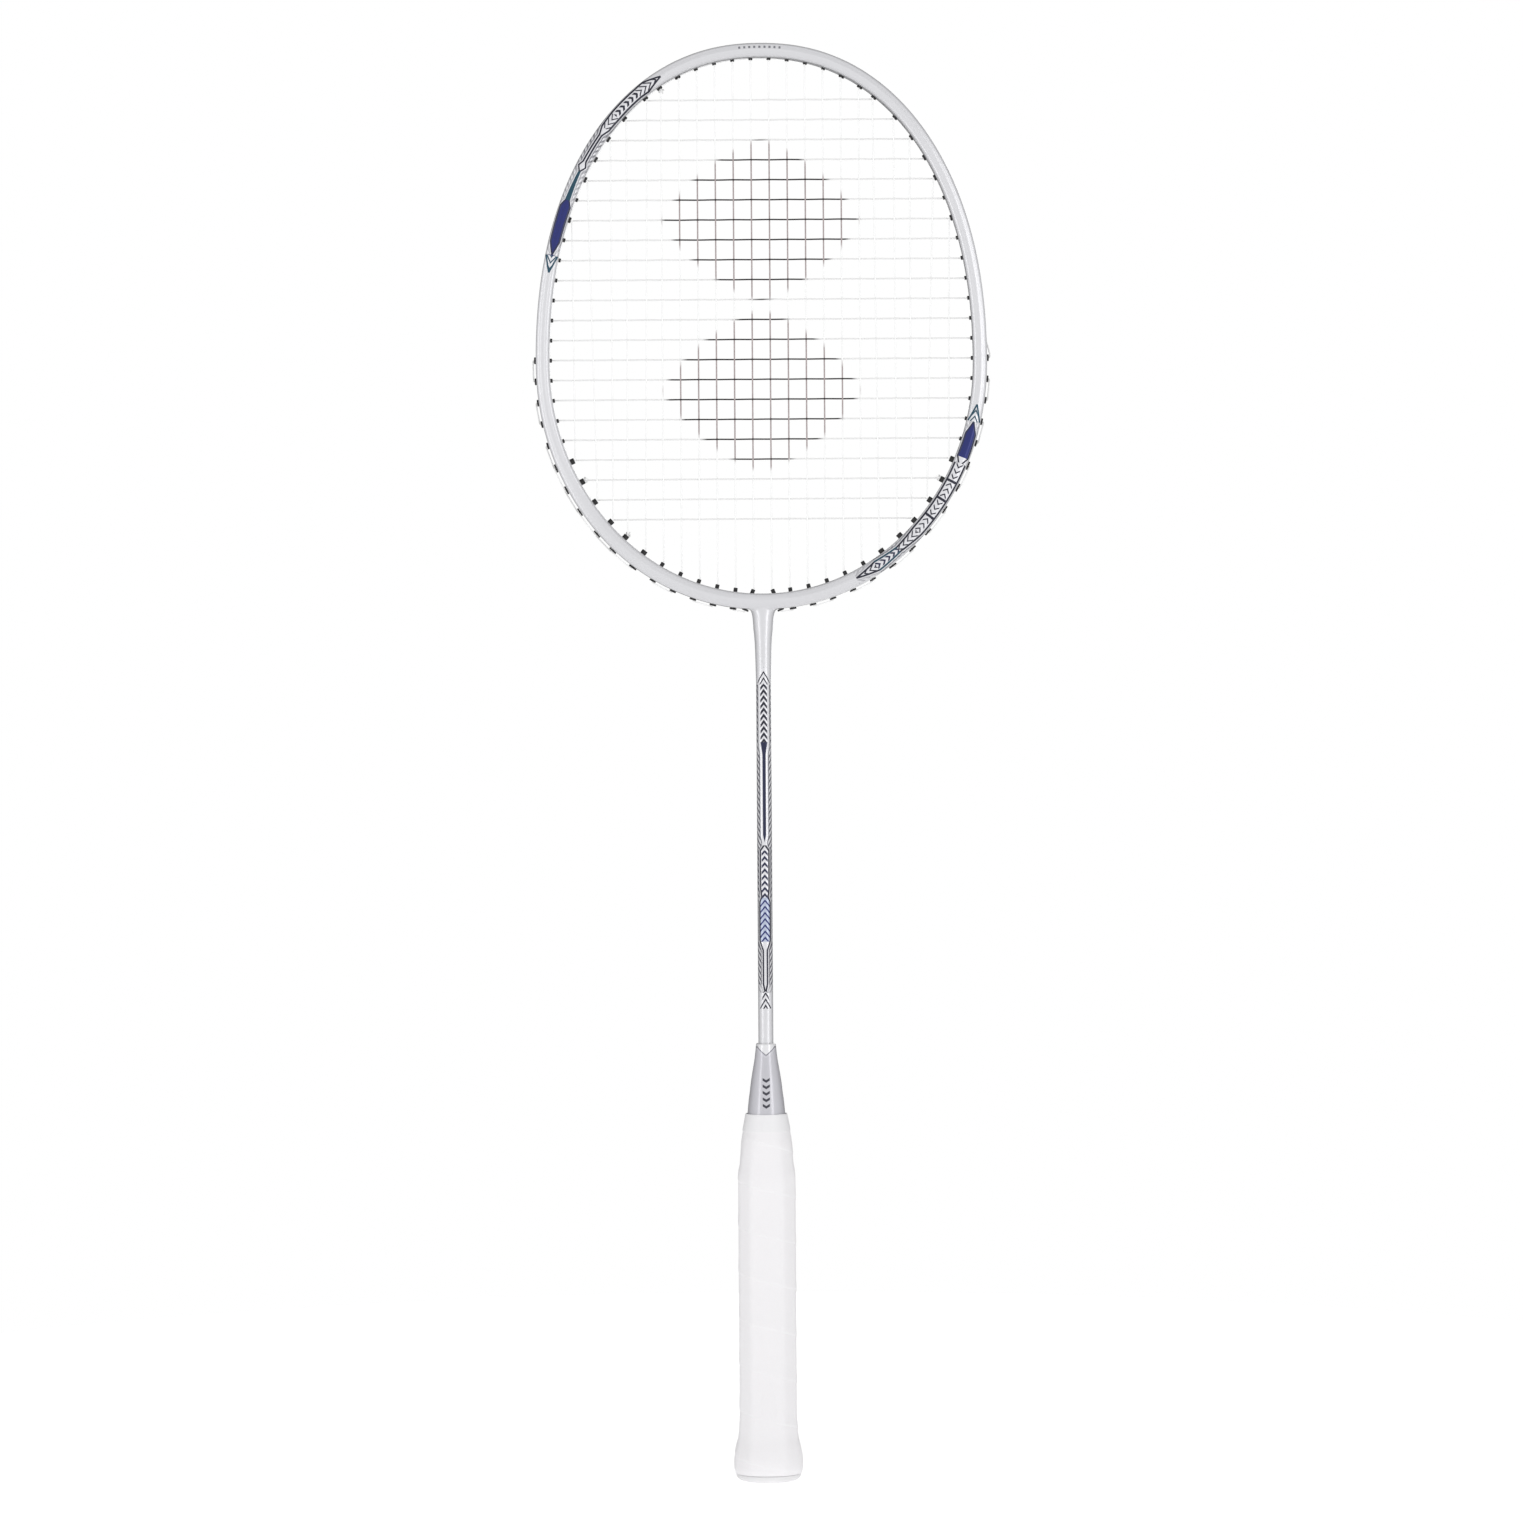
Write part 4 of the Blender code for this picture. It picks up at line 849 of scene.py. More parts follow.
def grown(name, seed_mesh, tree, **inputs):
    """The plain mesh that a geometry tree makes from a seed mesh."""
    seed = placed_object(f"{name}_seed", seed_mesh)
    step = seed.modifiers.new(tree.name, "NODES")
    step.node_group = tree
    for item in tree.interface.items_tree:
        if item.in_out == "INPUT" and item.name in inputs:
            step[item.identifier] = inputs[item.name]
    return baked(seed, name)


def route_mesh(name, routes, closed=False):
    """Polylines as a mesh of edges."""
    points, edges = [], []
    for route in routes:
        first = len(points)
        points += [tuple(point) for point in route]
        edges += [(here, here + 1) for here in range(first, len(points) - 1)]
        if closed:
            edges.append((len(points) - 1, first))
    mesh = bpy.data.meshes.new(name)
    mesh.from_pydata(points, edges, [])
    return mesh


# --- head and throat
def rim_section(s):
    """Half of the rim's section, from the middle of the groove to the middle inside."""
    width = rim.value(rim.width, s)
    flat = RIM_HALF_DEPTH - RIM_CROWN
    shoulder = flat - RIM_CORNER
    groove = GROOVE_DEPTH * (1 - float(ease((s - groove_end) / GROOVE_FADE)))
    section = [(groove, GROOVE_HALF * share) for share in (0.0, 0.5, 0.94)]
    section += [
        (groove * 0.93, GROOVE_HALF), (groove * 0.55, GROOVE_HALF),
        (groove * 0.16, GROOVE_HALF + 0.02 * MM), (groove * 0.04, GROOVE_HALF + 0.16 * MM),
        (0.0, GROOVE_HALF + GROOVE_LIP),
    ]
    quarter = np.linspace(0, math.pi / 2, 8)
    section += [
        (RIM_CORNER_DROP * (1 - math.cos(t)), shoulder + RIM_CORNER * math.sin(t)) for t in quarter
    ]
    inner_flat = width - 2 * RIM_CORNER_DROP
    section += [
        (RIM_CORNER_DROP + inner_flat * share, flat + RIM_CROWN * (1 - (2 * share - 1) ** 2))
        for share in (0.17, 0.34, 0.5, 0.66, 0.83)
    ]
    section += [
        (width - RIM_CORNER_DROP * (1 - math.sin(t)), shoulder + RIM_CORNER * math.cos(t))
        for t in quarter
    ]
    section += [(width + 0.10 * MM, shoulder * 0.5), (width + 0.14 * MM, 0.0)]
    return section


def rim_mesh():
    """Hollow-looking rim as one closed sweep, groove and all."""
    half = [float(s) for s in np.linspace(0, rim.length, RIM_STATIONS)]
    places = [(s, 1) for s in half] + [(s, -1) for s in half[-2:0:-1]]
    rings = []
    for s, side in places:
        section = rim_section(s)
        other = [(depth, -y) for depth, y in section[-2:0:-1]]
        rings.append([rim.point(s, side, depth, y) for depth, y in section + other])
    return skinned("rim", rings, closed=True)


def throat_mesh():
    """Loft from the round end at the shaft to a wide foot inside the rim."""
    places = [row[0] for row in THROAT_OUTLINE]
    extras = [row[1] * MM for row in THROAT_OUTLINE]
    rings = []
    for share in np.linspace(0.0, 1.10, 64):
        half_x = SHAFT_RADIUS + float(smooth_line(share, places, extras))
        half_y = (SHAFT_RADIUS
                  + (THROAT_TOP_HALF_DEPTH - SHAFT_RADIUS) * float(ease(min(share, 1.0))))
        ring = turned_ring(1.0, SHAFT_TOP + share * THROAT_LENGTH, 72)
        rings.append(ring * (half_x, half_y, 1.0))
    return skinned("throat", rings, capped=True)


def soften_junction(mesh):
    """Fair the corner between the rim and the throat into a fillet."""
    form = bmesh.new()
    form.from_mesh(mesh)
    low, high, reach = HEAD_BOTTOM - 9 * MM, HEAD_BOTTOM + 5 * MM, 15 * MM
    near = [v for v in form.verts if abs(v.co.x) < reach and low < v.co.z < high]
    for _ in range(14):
        bmesh.ops.smooth_vert(form, verts=near, factor=0.5, use_axis_x=True, use_axis_y=True,
                              use_axis_z=True)
    return tidy_mesh(form, mesh.name, 60)


def mark_rim(mesh):
    """Keep each vertex's place along and across the rim, for the printed ornaments."""
    tree = KDTree(len(rim.s))
    for order, (x, z) in enumerate(zip(rim.x, rim.z)):
        tree.insert((x, 0.0, z), order)
    tree.balance()
    marks = np.zeros((3, len(mesh.vertices)), np.float32)
    for order, vertex in enumerate(mesh.vertices):
        x, y, z = vertex.co
        _, found, depth = tree.find((abs(x), 0.0, z))
        side = 0.0
        if z > HEAD_BOTTOM + 4 * MM:
            side = math.copysign(1.0, x) * math.copysign(1.0, -y)
        marks[:, order] = rim.s[found], (depth - rim.width[found] / 2) / MM, side
    for word, values in zip(("along", "across", "side"), marks):
        layer = mesh.attributes.new(f"rim_{word}", "FLOAT", "POINT")
        layer.data.foreach_set("value", values)


def build_head(material):
    """Head and throat in one moulded piece."""
    shell = joined_solid("head_shell", rim_mesh(), added=throat_mesh())
    shell = soften_junction(shell)
    mark_rim(shell)
    finish_piece("head_shell", shell, material, "pearl_lacquer", "head_frame")


# --- grommets
def axis_points(name, holes):
    """A point at the outer end of each barrel, with its axis and length."""
    mesh = bpy.data.meshes.new(name)
    mesh.from_pydata([tuple(rim.point(hole.s, hole.side)) for hole in holes], [], [])
    axes, lengths = [], []
    for hole in holes:
        axis = (rim.inward(hole.s, hole.side)
                + hole.slant * rim.tangent(hole.s, hole.side))
        axes += list(axis.normalized())
        lengths.append(hole.inner_end * axis.length)
    mesh.attributes.new("into_head", "FLOAT_VECTOR", "POINT").data.foreach_set("vector", axes)
    mesh.attributes.new("barrel_length", "FLOAT", "POINT").data.foreach_set("value", lengths)
    return mesh


def build_loose_grommets(material):
    """The single grommets of the lower half, narrow and wide."""
    tree = grommet_tree()
    whole = bmesh.new()
    for wide, bore, barrel in ((False, NARROW_BORE, NARROW_BARREL),
                               (True, WIDE_BORE, WIDE_BARREL)):
        holes = [hole for hole in all_holes if not hole.on_strip and hole.wide == wide]
        mesh = grown("grommets", axis_points("places", holes), tree, Bore=bore, Barrel=barrel,
                     Flange=barrel + FLANGE_RIM, Finish=material)
        whole.from_mesh(mesh)
    nodes = [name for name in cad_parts
             if name.startswith(("grommet_cross_", "grommet_main_"))]
    finish_piece("grommets_loose", tidy_mesh(whole, "grommets_loose", 50), material,
                 "black_nylon", *nodes)


def strip_band(spread):
    """A flat band with rounded edges that follows the groove."""
    edge = 0.22 * MM
    deep = STRIP_FACE + STRIP_THICKNESS
    half = [
        (STRIP_FACE, STRIP_HALF - edge), (STRIP_FACE + edge * 0.3, STRIP_HALF - edge * 0.3),
        (STRIP_FACE + edge, STRIP_HALF), (deep, STRIP_HALF),
    ]
    section = half + [(depth, -y) for depth, y in reversed(half)]
    rings = []
    for order, (s, side) in enumerate(spread):
        end = min(order, len(spread) - 1 - order)
        narrow = (0.55, 0.85, 0.97)[end] if end < 3 else 1.0
        rings.append([rim.point(s, side, depth, y * narrow) for depth, y in section])
    return skinned("band", rings, capped=True)


def round_pegs(holes, radius_of, start, past, tip=0.0):
    """A peg along each hole's axis."""
    form = bmesh.new()
    turns = np.arange(PEG_SIDES) * math.tau / PEG_SIDES
    for hole in holes:
        radius, end = radius_of(hole), hole.inner_end + past
        inward, along = rim.inward(hole.s, hole.side), rim.tangent(hole.s, hole.side)
        middle = rim.point(hole.s, hole.side)
        depths = [(start, radius), (end - tip, radius)]
        if tip:
            depths += [(end - tip * 0.3, radius - tip * 0.3), (end, radius - tip)]
        skin(form, [[middle + inward * depth + along * size * math.cos(t)
                     + Vector((0, size * math.sin(t), 0)) for t in turns]
                    for depth, size in depths], capped=True)
    return tidy_mesh(form, "pegs")


def build_strip(name, holes, spread, material):
    """A band in the rim's groove that carries a row of bored barrels."""
    barrels = round_pegs(holes, lambda hole: hole.barrel, STRIP_FACE + STRIP_THICKNESS / 2, 0.0,
                         0.15 * MM)
    bores = round_pegs(holes, lambda hole: hole.bore, STRIP_FACE - 1 * MM, 1 * MM)
    mesh = joined_solid(name, strip_band(spread), barrels, bores)
    form = bmesh.new()
    form.from_mesh(mesh)
    finish_piece(f"{name}_moulded", tidy_mesh(form, name, 35), material, "black_nylon", name)


def build_strips(material):
    """Five strips in the groove."""
    def between(start, end, side):
        count = max(2, math.ceil((end - start) / (1.5 * MM)))
        return [(float(s), side) for s in np.linspace(start, end, count)]
    for side, holes, word in ((1, right, "right"), (-1, left, "left")):
        shoulder = [holes["cross", number] for number in range(1, 6)]
        flank = [holes["cross", number] for number in range(6, LAST_GROOVE_CROSS + 1)]
        for label, row in (("shoulder", shoulder), ("side", flank)):
            spread = between(row[0].s - STRIP_END, row[-1].s + STRIP_END, side)
            build_strip(f"grommet_strip_{label}_{word}", row, spread, material)
    row = [holes["top", number] for holes in (left, right) for number in range(1, 7)]
    half = between(0.0, right["top", 6].s + STRIP_END, 1)
    spread = [(s, -1) for s, _ in reversed(half[1:])] + half
    build_strip("grommet_strip_top", row, spread, material)


# --- strings
def corner(hole, y, toward):
    """Two points that take a string from a barrel's axis to the outside of the rim."""
    way = 1 if toward > hole.s else -1
    return [hole.point(hole.run_depth + STRING_BEND, y),
            hole.point(hole.run_depth, y, way * STRING_BEND)]


def middle_of_run(first, second, plane):
    """A point between two holes, where the string follows the groove or climbs out."""
    y_first, y_second = first.string_y(plane), second.string_y(plane)
    if first.on_strip and second.on_strip:
        low, high = sorted((first.s, second.s))
        y = (y_first + y_second) / 2
        if any(low + 1 * MM < hole.s < high - 1 * MM for hole in all_holes
               if hole.side == first.side):
            y = plane * (PLANE_OFFSET + 2 * STRING_RADIUS)
        return [rim.point((first.s + second.s) / 2, first.side, first.run_depth, y)]
    if first.on_strip == second.on_strip:
        return []
    loose = second if first.on_strip else first
    back = -(loose.barrel + FLANGE_RIM + STRING_RADIUS)
    return [loose.point(loose.run_depth, loose.string_y(plane), back)]


def outside_run(first, second, plane):
    """The stretch of string outside the rim, from one hole to the next."""
    over_the_top = first.side != second.side
    toward_first = 0.0 if over_the_top else second.s
    toward_second = 0.0 if over_the_top else first.s
    points = corner(first, first.string_y(plane), toward_first)
    if not over_the_top:
        points += middle_of_run(first, second, plane)
    points += list(reversed(corner(second, second.string_y(plane), toward_second)))
    return rounded_bends(points, 0.5 * MM)


def rounded_bends(points, reach):
    """Replace each inner corner by a short arc of five points."""
    made = [points[0]]
    for before, here, after in zip(points, points[1:], points[2:]):
        back, on = before - here, after - here
        start = here + back.normalized() * min(reach, back.length * 0.45)
        end = here + on.normalized() * min(reach, on.length * 0.45)
        for t in np.linspace(0, 1, 5):
            made.append(start * (1 - t) ** 2 + here * 2 * t * (1 - t) + end * t * t)
    return made + [points[-1]]


def inside_ends(start, end, plane):
    """Where a crossing leaves its two barrels."""
    return (start.point(start.inner_end + STRING_LEAD, start.string_y(plane)),
            end.point(end.inner_end + STRING_LEAD, end.string_y(plane)))


def meeting(first, second):
    """Shares along two straight crossings at which they meet, seen from the front."""
    (a, b), (c, d) = first, second
    p, q, gap = b - a, d - c, c - a
    turn = p.x * q.z - p.z * q.x
    return ((gap.x * q.z - gap.z * q.x) / turn, (gap.x * p.z - gap.z * p.x) / turn)


def woven_run(ends, others, order, front_first, clear=2.6 * MM):
    """One crossing that swings to each side of the strings it meets."""
    a, b = ends
    length = (b - a).length
    keys = [(0.0, a.y), (1.0, b.y)]
    for count, other in enumerate(others):
        here, there = meeting(ends, other)
        other_length = (other[1] - other[0]).length
        if min(here, 1 - here) * length < clear or min(there, 1 - there) * other_length < clear:
            continue
        way = -1 if (order + count) % 2 == 0 else 1
        keys.append((here, way * WEAVE * front_first))
    keys.sort()
    points = []
    for (low, y_low), (high, y_high) in zip(keys, keys[1:]):
        for t in np.linspace(0, 1, 7)[:-1]:
            point = a.lerp(b, low + (high - low) * float(t))
            point.y = y_low + (y_high - y_low) * (1 - math.cos(math.pi * t)) / 2
            points.append(point)
    return points + [b.copy()]


def crossings(numbers, first_side, first_row, second_side, second_row):
    """Pairs of holes that a string crosses between; every other crossing runs back."""
    pairs = [(first_side[first_row, number], second_side[second_row, number])
             for number in numbers]
    return [pair if number % 2 else pair[::-1] for number, pair in zip(numbers, pairs)]


def string_route(stops, plane, other_ends, first_tie, last_tie, front_first):
    """Points of one whole string, from tie-off to tie-off."""
    def tail(hole):
        y = hole.string_y(plane)
        return [hole.point(hole.inner_end + STRING_LEAD + TAIL_LENGTH, y),
                hole.point(hole.inner_end, y)]
    points = tail(first_tie) + outside_run(first_tie, stops[0][0], plane)
    for order, (start, end) in enumerate(stops):
        points += woven_run(inside_ends(start, end, plane), other_ends, order, front_first)
        after = stops[order + 1][0] if order + 1 < len(stops) else last_tie
        points += outside_run(end, after, plane)
    return points + list(reversed(tail(last_tie)))


def knot_route(hole, plane):
    """A small closed knot round the tail of a string, just inside the rim."""
    centre = hole.point(hole.inner_end + 0.75 * MM, hole.string_y(plane))
    inward, along = rim.inward(hole.s, hole.side), rim.tangent(hole.s, hole.side)
    route = []
    for t in np.arange(48) * math.tau / 48:
        a = KNOT_SIZE * (math.sin(t) + 2 * math.sin(2 * t))
        b = KNOT_SIZE * (math.cos(t) - 2 * math.cos(2 * t))
        c = -KNOT_SIZE * 1.1 * math.sin(3 * t)
        route.append(centre + along * a + Vector((0, b, 0)) + inward * c)
    return route


def build_strings(mains_finish, crosses_finish):
    """The mains and the crosses are two lengths of string, woven through each other."""
    tree = tube_tree()
    half = range(1, HALF_MAINS + 1)
    mains = (crossings(half[::-1], left, "bottom", left, "top")
             + crossings(half, right, "top", right, "bottom"))
    crosses = crossings(range(1, CROSSINGS + 1), left, "cross", right, "cross")
    main_ends = [inside_ends(*stop, -1) for stop in mains]
    cross_ends = [inside_ends(*stop, 1) for stop in crosses]
    knots = []
    for name, node, stops, plane, others, ties, way, finish in (
        ("main_string_woven", "main_string", mains, -1, cross_ends,
         (left["cross", 20], right["cross", 20]), 1, mains_finish),
        ("cross_string_woven", "cross_string", crosses, 1, main_ends,
         (left["top", 6], left["bottom", 8]), -1, crosses_finish),
    ):
        route = string_route(stops, plane, others, *ties, way)
        mesh = grown(name, route_mesh(name, [route]), tree, Radius=STRING_RADIUS, Finish=finish)
        finish_piece(name, mesh, None, "string_nylon", node)
        knots += [knot_route(hole, plane) for hole in ties]
    mesh = grown("string_knots", route_mesh("knots", knots, closed=True), tree,
                 Radius=STRING_RADIUS * 0.9, Finish=crosses_finish)
    finish_piece("string_knots", mesh, None, "string_nylon")


# --- shaft
def build_shaft(material):
    """Thin tube from the throat down into the handle."""
    heights = np.concatenate((
        [SHAFT_FOOT], np.linspace(SHAFT_FOOT + 0.3 * MM, SHAFT_TOP - 0.3 * MM, 90), [SHAFT_TOP]))
    sizes = [SHAFT_RADIUS - 0.2 * MM] + [SHAFT_RADIUS] * (len(heights) - 1)
    rings = [turned_ring(size, height, 64) for size, height in zip(sizes, heights)]
    rings += [turned_ring(SHAFT_BORE, height, 64) for height in (SHAFT_TOP, SHAFT_FOOT)]
    finish_piece("shaft_tube", skinned("shaft_tube", rings, closed=True), material,
                 "pearl_lacquer", "shaft")


# --- handle
def grip_radius(turns, half_x, half_y, roundness):
    """Distance from the axis to an octagon with soft edges, drawn towards an ellipse."""
    chamfer = GRIP_CHAMFER - (2 - math.sqrt(2)) * (GRIP_HALF_X - half_x)
    slope = math.sqrt(0.5)
    total = np.zeros_like(turns)
    flats = [(1, 0, half_x), (-1, 0, half_x), (0, 1, half_y), (0, -1, half_y)]
    diagonal = (half_x + half_y - chamfer) * slope
    flats += [(a * slope, b * slope, diagonal) for a in (1, -1) for b in (1, -1)]
    for a, b, distance in flats:
        facing = np.maximum(0, a * np.cos(turns) + b * np.sin(turns)) / distance
        total += facing**EDGE_POWER
    octagon = total ** (-1 / EDGE_POWER)
    oval = 1 / np.hypot(np.cos(turns) / half_x, np.sin(turns) / half_y)
    return octagon * (1 - roundness) + oval * roundness


def handle_ring(height, half_x, half_y, roundness, count=96):
    """A level ring of the handle's outline."""
    turns = np.arange(count) * math.tau / count
    radius = grip_radius(turns, half_x, half_y, roundness)
    return np.stack((radius * np.cos(turns), radius * np.sin(turns),
                     np.full(count, height)), axis=1)


def grip_tables():
    """Outline of the grip as columns: height, half sizes, roundness."""
    rows = [(height * MM, GRIP_HALF_X + x * MM, GRIP_HALF_Y + y * MM, roundness)
            for height, x, y, roundness in BUTT_FLARE]
    rows += [(GRIP_TOP - drop * MM, GRIP_HALF_X - x * MM, GRIP_HALF_Y - y * MM, roundness)
             for drop, x, y, roundness in SHOULDER]
    rows.append((GRIP_TOP - 1.5 * MM, SHAFT_RADIUS + 6.1 * MM, SHAFT_RADIUS + 6.1 * MM, 1.0))
    return np.array(rows).T


def grip_size(heights):
    """Half sizes and roundness of the grip at given heights."""
    places, *columns = grip_tables()
    return [smooth_line(heights, places, column) for column in columns]


def grip_ring(height, at):
    """A ring just under the grip, with the outline that the grip has at another height."""
    half_x, half_y, roundness = grip_size(np.array(at))
    return handle_ring(height, half_x - UNDER_GRIP, half_y - UNDER_GRIP, roundness)


def cone_radius(height):
    """Radius of the cone at a height above the grip's top."""
    places = [row[0] * MM for row in CONE_OUTLINE]
    return SHAFT_RADIUS + smooth_line(height, places, [row[1] * MM for row in CONE_OUTLINE])


def wrap_rise(phase):
    """How far the wound tape stands proud, by the share of a turn above its lower edge."""
    edge = ease(phase / 0.035)
    fade = 1 - ease((phase - 0.05) / WRAP_SHOULDER)
    crease = -0.10 * np.exp(-((1 - phase) / 0.02) ** 2)
    return WRAP_STEP * (edge * fade + crease) + 0.05 * MM * np.sin(math.pi * phase)


def build_grip(material):
    """Tape wound up the handle: rows of the mesh follow the tape, and turns overlap."""
    around = 128
    steps = np.concatenate((np.linspace(0, 0.05, 8)[:-1], np.linspace(0.05, 0.94, 22)[:-1],
                            np.linspace(0.94, 1.0, 6)[:-1]))
    low, high = BUTT_FLARE[0][0] * MM, GRIP_TOP - 1.5 * MM
    turns = np.arange(around + 1) * math.tau / around - math.pi / 2
    drop = WRAP_PITCH * np.arange(around + 1) / around
    first = math.floor((low - WRAP_START) / WRAP_PITCH) - 1
    last = math.ceil((high - WRAP_START) / WRAP_PITCH) + 2
    rows = np.concatenate([number + steps for number in range(first, last)])
    form, grid = bmesh.new(), []
    for row in rows:
        heights = WRAP_START + row * WRAP_PITCH - drop
        held = np.clip(heights, low, high)
        half_x, half_y, roundness = grip_size(held)
        phase = row - math.floor(row)
        away = ease((held - low) / (4 * MM)) * ease((TAPE_LOW - held) / (5 * MM))
        rise = wrap_rise(np.array(phase)) * away
        radius = grip_radius(turns, half_x, half_y, roundness) + rise
        line = [form.verts.new((r * math.cos(t), r * math.sin(t), z))
                for r, t, z in zip(radius, turns, held)]
        grid.append((heights, line))
    for (heights, line), (_, above) in zip(grid, grid[1:]):
        for here in range(around):
            corners = (line[here], line[here + 1], above[here + 1], above[here])
            if len({round(v.co.z, 8) for v in corners}) > 1:
                form.faces.new(corners)
    loose = [v for v in form.verts if not v.link_faces]
    bmesh.ops.delete(form, geom=loose, context="VERTS")
    bmesh.ops.remove_doubles(form, verts=form.verts, dist=2e-6)
    close_wall(form, low, high)
    finish_piece("grip_wrap", tidy_mesh(form, "grip_wrap", 50), material, "grip_tape", "grip_tape")


def close_wall(form, low, high):
    """Give the wound surface its inner wall, from one open end to the other."""
    def boundary(height):
        ring = [v for v in form.verts if v.is_boundary and abs(v.co.z - height) < 1e-6]
        return sorted(ring, key=lambda v: math.atan2(v.co.y, v.co.x))
    bottom, top = boundary(low), boundary(high)
    inner = []
    for ring, height in ((bottom, low), (top, high)):
        half_x, half_y, roundness = [float(value) for value in grip_size(np.array(height))]
        turns = np.array([math.atan2(v.co.y, v.co.x) for v in ring])
        wall = GRIP_WALL if height == low else 0.35 * MM
        radius = grip_radius(turns, half_x - wall, half_y - wall, roundness)
        inner.append([form.verts.new((r * math.cos(t), r * math.sin(t), height))
                      for r, t in zip(radius, turns)])
    for outer, inside in zip((bottom, top), inner):
        for here in range(len(outer)):
            after = (here + 1) % len(outer)
            form.faces.new((outer[here], outer[after], inside[after], inside[here]))
    bmesh.ops.bridge_loops(form, edges=[
        edge for edge in form.edges
        if edge.is_boundary and abs(edge.verts[0].co.z - edge.verts[1].co.z) < 1e-7])


def build_finishing_band(material):
    """Narrow tape that holds the end of the grip, as one sloping band."""
    low, high = TAPE_LOW, GRIP_TOP
    low_radius = GRIP_HALF_X - 2.1 * MM
    high_radius = float(cone_radius(-1.5 * MM)) + 0.85 * MM
    rings = []
    for share in np.linspace(0, 1, 16):
        size = low_radius + (high_radius - low_radius) * share
        if share in (0.0, 1.0):
            size -= 0.08 * MM
        rings.append(handle_ring(low + (high - low) * share, size + 0.05 * MM,
                                 size - (0.35 * MM) * (1 - share), 1.0))
    inner = [ring.copy() for ring in (rings[-1], rings[0])]
    for ring in inner:
        ring[:, :2] *= 1 - 0.45 * MM / low_radius
    finish_piece("finishing_band", skinned("finishing_band", rings + inner, closed=True),
                 material, "finishing_tape", "finishing_tape")


def build_cone(material):
    """Turned cone over the shaft, with a soft upper rim and its seat inside the grip."""
    base = GRIP_TOP - 30.5 * MM
    rings = [grip_ring(height, height) for height in np.linspace(base, GRIP_TOP - 8.5 * MM, 20)]
    for height in np.linspace(-8.0 * MM, CONE_LENGTH - 0.5 * MM, 60):
        radius = float(cone_radius(height))
        rings.append(handle_ring(GRIP_TOP + height, radius, radius, 1.0))
    top = GRIP_TOP + CONE_LENGTH
    lip = SHAFT_RADIUS + CONE_TOP_RIM
    for size, height in ((lip - 0.06 * MM, top - 0.2 * MM), (lip - 0.3 * MM, top),
                         (SHAFT_RADIUS + 0.3 * MM, top), (SHAFT_RADIUS + 0.02 * MM, top - 0.5 * MM),
                         (SHAFT_RADIUS + 0.02 * MM, base)):
        rings.append(handle_ring(height, size, size, 1.0))
    finish_piece("cone_shell", skinned("cone_shell", rings, closed=True), material,
                 "cone_lacquer", "cone_cap")


def build_butt(cap_material, badge_material):
    """Rounded end cap with a recess, and the film badge in it."""
    end_x, end_y = GRIP_HALF_X - 1.6 * MM, GRIP_HALF_Y - 0.7 * MM
    lip_x, lip_y = GRIP_HALF_X + 1.9 * MM, GRIP_HALF_Y + 2.1 * MM
    roundness = BUTT_FLARE[0][3]
    recess = BADGE_RADIUS + 0.3 * MM
    lip_top = 3.2 * MM
    rings = [handle_ring(1.1 * MM, recess, recess, 1.0),
             handle_ring(0.15 * MM, recess, recess, 1.0),
             handle_ring(0.0, recess + 0.15 * MM, recess + 0.15 * MM, 1.0)]
    for t in np.linspace(0, math.pi / 2, 14):
        reach = math.sin(t) ** 0.9
        height = 0.86 * lip_top * (1 - math.cos(t))
        rings.append(handle_ring(height, end_x + (lip_x - end_x) * reach,
                                 end_y + (lip_y - end_y) * reach, roundness))
    rings.append(handle_ring(lip_top, lip_x - 0.15 * MM, lip_y - 0.15 * MM, roundness))
    for height in np.concatenate(([lip_top], np.linspace(3.5, 26.0, 24) * MM)):
        rings.append(grip_ring(height, max(height, 3.5 * MM)))
    pocket = (GRIP_HALF_X - 3.1 * MM, GRIP_HALF_Y - 3.1 * MM)
    rings += [handle_ring(26 * MM, *pocket, 0.0), handle_ring(2.5 * MM, *pocket, 0.0)]
    finish_piece("butt_shell", skinned("butt_shell", rings, capped=True), cap_material,
                 "cap_plastic", "butt_cap")
    edge = BADGE_RADIUS
    rings = [turned_ring(size, height, 72) for size, height in (
        (edge * 0.3, 0.02 * MM), (edge * 0.7, 0.02 * MM), (edge - 0.25 * MM, 0.03 * MM),
        (edge, 0.2 * MM), (edge, 0.8 * MM), (edge * 0.5, 0.8 * MM))]
    finish_piece("badge_disc", skinned("badge_disc", rings, capped=True), badge_material,
                 "badge_film", "butt_badge")


# --- studio
FLOOR_GLOW = 0.36
FLOOR_GLOW_SEEN = 0.26            # more of it straight to the camera, so that paper is white


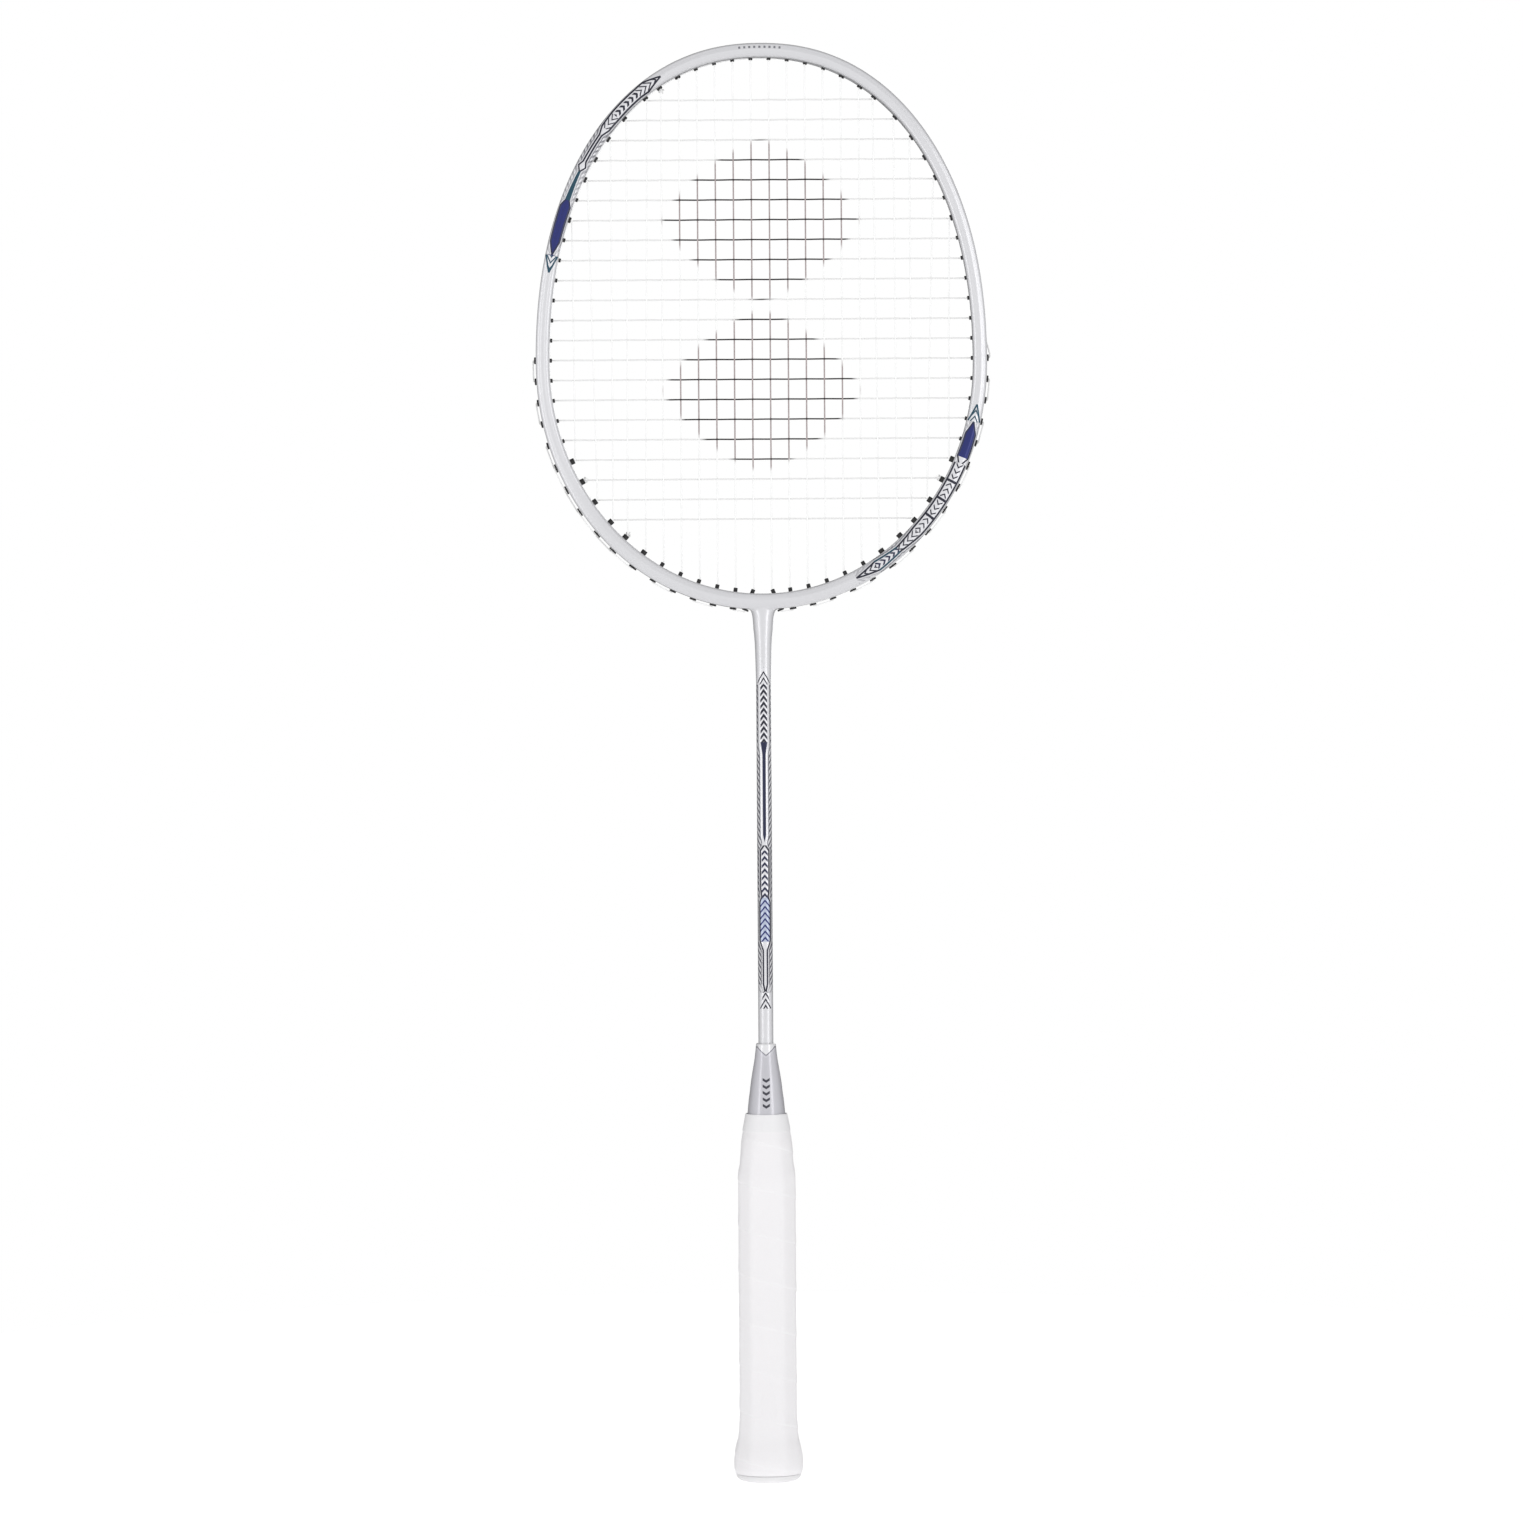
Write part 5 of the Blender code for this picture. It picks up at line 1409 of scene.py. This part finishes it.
def build_studio():
    """Pale floor, even daylight all round, soft panels on four sides and the camera."""
    form = bmesh.new()
    bmesh.ops.create_circle(form, cap_ends=True, radius=0.7, segments=128)
    mesh = bpy.data.meshes.new("studio_floor")
    form.to_mesh(mesh)
    form.free()
    floor = placed_object("studio_floor", mesh)
    floor.location.z = -0.3 * MM
    r, place = new_material("floor_paper", Roughness=0.9, Emission_Color=(1, 1, 1))
    seen = r.get("ShaderNodeLightPath", None, "Is Camera Ray")
    mesh.materials.append(r.give(
        Base_Color=r.mix(r.noise(place, 300.0), (0.90, 0.90, 0.90), (0.93, 0.93, 0.93)),
        Emission_Strength=seen.line(FLOOR_GLOW_SEEN, FLOOR_GLOW)))

    world = bpy.data.worlds.new("studio")
    world.use_nodes = True
    bpy.context.scene.world = world
    r = Recipe(world.node_tree, world.node_tree.nodes["World Output"], world)
    _, y, z = r.split(r.get("ShaderNodeTexCoord", None, "Generated"))
    lift = r.ramp(z.line(0.5, 0.5), (
        (0.0, 0.75), (0.40, 0.95), (0.60, 1.0), (0.80, 0.60), (1.0, 0.50)))
    depth = r.ramp(y.line(0.5, 0.5), (
        (0.0, 0.96), (0.40, 0.90), (0.60, 0.60), (0.80, 0.24), (1.0, 0.18)))
    tone = r.get("ShaderNodeVectorMath", {0: lift, 1: depth}, operation="MULTIPLY")
    lit = r.fill(world.node_tree.nodes["Background"], {"Color": tone, "Strength": 1.0})
    seen = r.get("ShaderNodeBackground", {"Color": (1, 1, 1), "Strength": 1.0})
    r.give(Surface=r.get("ShaderNodeMixShader", {
        0: r.get("ShaderNodeLightPath", None, "Is Camera Ray"), 1: r.flows(lit)[0], 2: seen}))

    for name, place, size, power in (
        ("left_panel", (-1.15, -1.05, 0.55), (0.35, 1.5), 2.3),
        ("right_panel", (1.05, -1.25, 0.55), (0.45, 1.5), 3.1),
        ("top_panel", (0.0, -0.9, 1.9), (1.4, 0.8), 1.3),
        ("rear_panel", (0.5, 1.6, 0.9), (1.2, 1.2), 5.0),
    ):
        light = bpy.data.lights.new(name, "AREA")
        light.shape, (light.size, light.size_y), light.energy = "RECTANGLE", size, power
        lamp = placed_object(name, light)
        lamp.location = place
        aim = Vector((0, 0, 0.36)) - Vector(place)
        lamp.rotation_euler = aim.to_track_quat("-Z", "Y").to_euler()

    lens = bpy.data.cameras.new("camera")
    lens.lens, lens.sensor_width = 100, 36
    lens.clip_start, lens.clip_end = 0.05, 20
    camera = placed_object("camera", lens)
    camera.location = (-0.0012, -1.99, 0.3375)
    camera.rotation_euler = (math.radians(90), math.radians(0.378), 0)
    bpy.context.scene.camera = camera
    bpy.context.scene.view_settings.view_transform = "Standard"


# --- the racket
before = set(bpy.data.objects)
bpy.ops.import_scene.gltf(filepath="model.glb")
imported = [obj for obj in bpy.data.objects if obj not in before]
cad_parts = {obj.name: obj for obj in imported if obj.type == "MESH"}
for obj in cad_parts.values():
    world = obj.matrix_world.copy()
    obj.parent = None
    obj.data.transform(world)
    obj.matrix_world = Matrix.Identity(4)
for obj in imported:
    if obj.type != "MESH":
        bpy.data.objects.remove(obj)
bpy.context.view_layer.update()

rim = Rim()
right, left = drill_plan(1), drill_plan(-1)
all_holes = list({id(hole): hole for hole in (*right.values(), *left.values())}.values())
groove_end = right["cross", LAST_GROOVE_CROSS].s + GROOVE_RUN_OUT

fleck, chevrons, grain = pearl_fleck_group(), chevron_rows_group(), skin_grain_group()
pearl = pearl_lacquer(fleck, chevrons)
cone_finish = cone_lacquer(fleck, chevrons)
black, grip_white, band_white, cap_white = (grained(grain, *look) for look in (
    ("black_nylon", (0.009, 0.009, 0.010), 1500.0, 0.3, 0.42, 0.00005),
    ("grip_tape_white", (0.950, 0.937, 0.955), 1100.0, 0.03, 0.5, 0.00012),
    ("finishing_tape_white", (0.92, 0.915, 0.93), 2200.0, 0.02, 0.36, 0.00005),
    ("cap_plastic", (0.84, 0.835, 0.845), 1800.0, 0.04, 0.35, 0.00004)))

build_head(pearl)
build_loose_grommets(black)
build_strips(black)
# The last number given to each string finish is its painted glow, an emission that lightens the
# bare string.
build_strings(string_nylon("string_nylon_mains", (0.13, 0.03, 0.03), 0.52, 0.22),
              string_nylon("string_nylon_crosses", (0.008, 0.005, 0.006), 0.95, 0.06))
build_shaft(pearl)
build_cone(cone_finish)
build_grip(grip_white)
build_finishing_band(band_white)
build_butt(cap_white, badge_film())
for node, material in (("handle_core", handle_wood()), ("t_joint", turned_metal())):
    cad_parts[node].material_slots[0].material = material
build_studio()

bpy.context.view_layer.update()
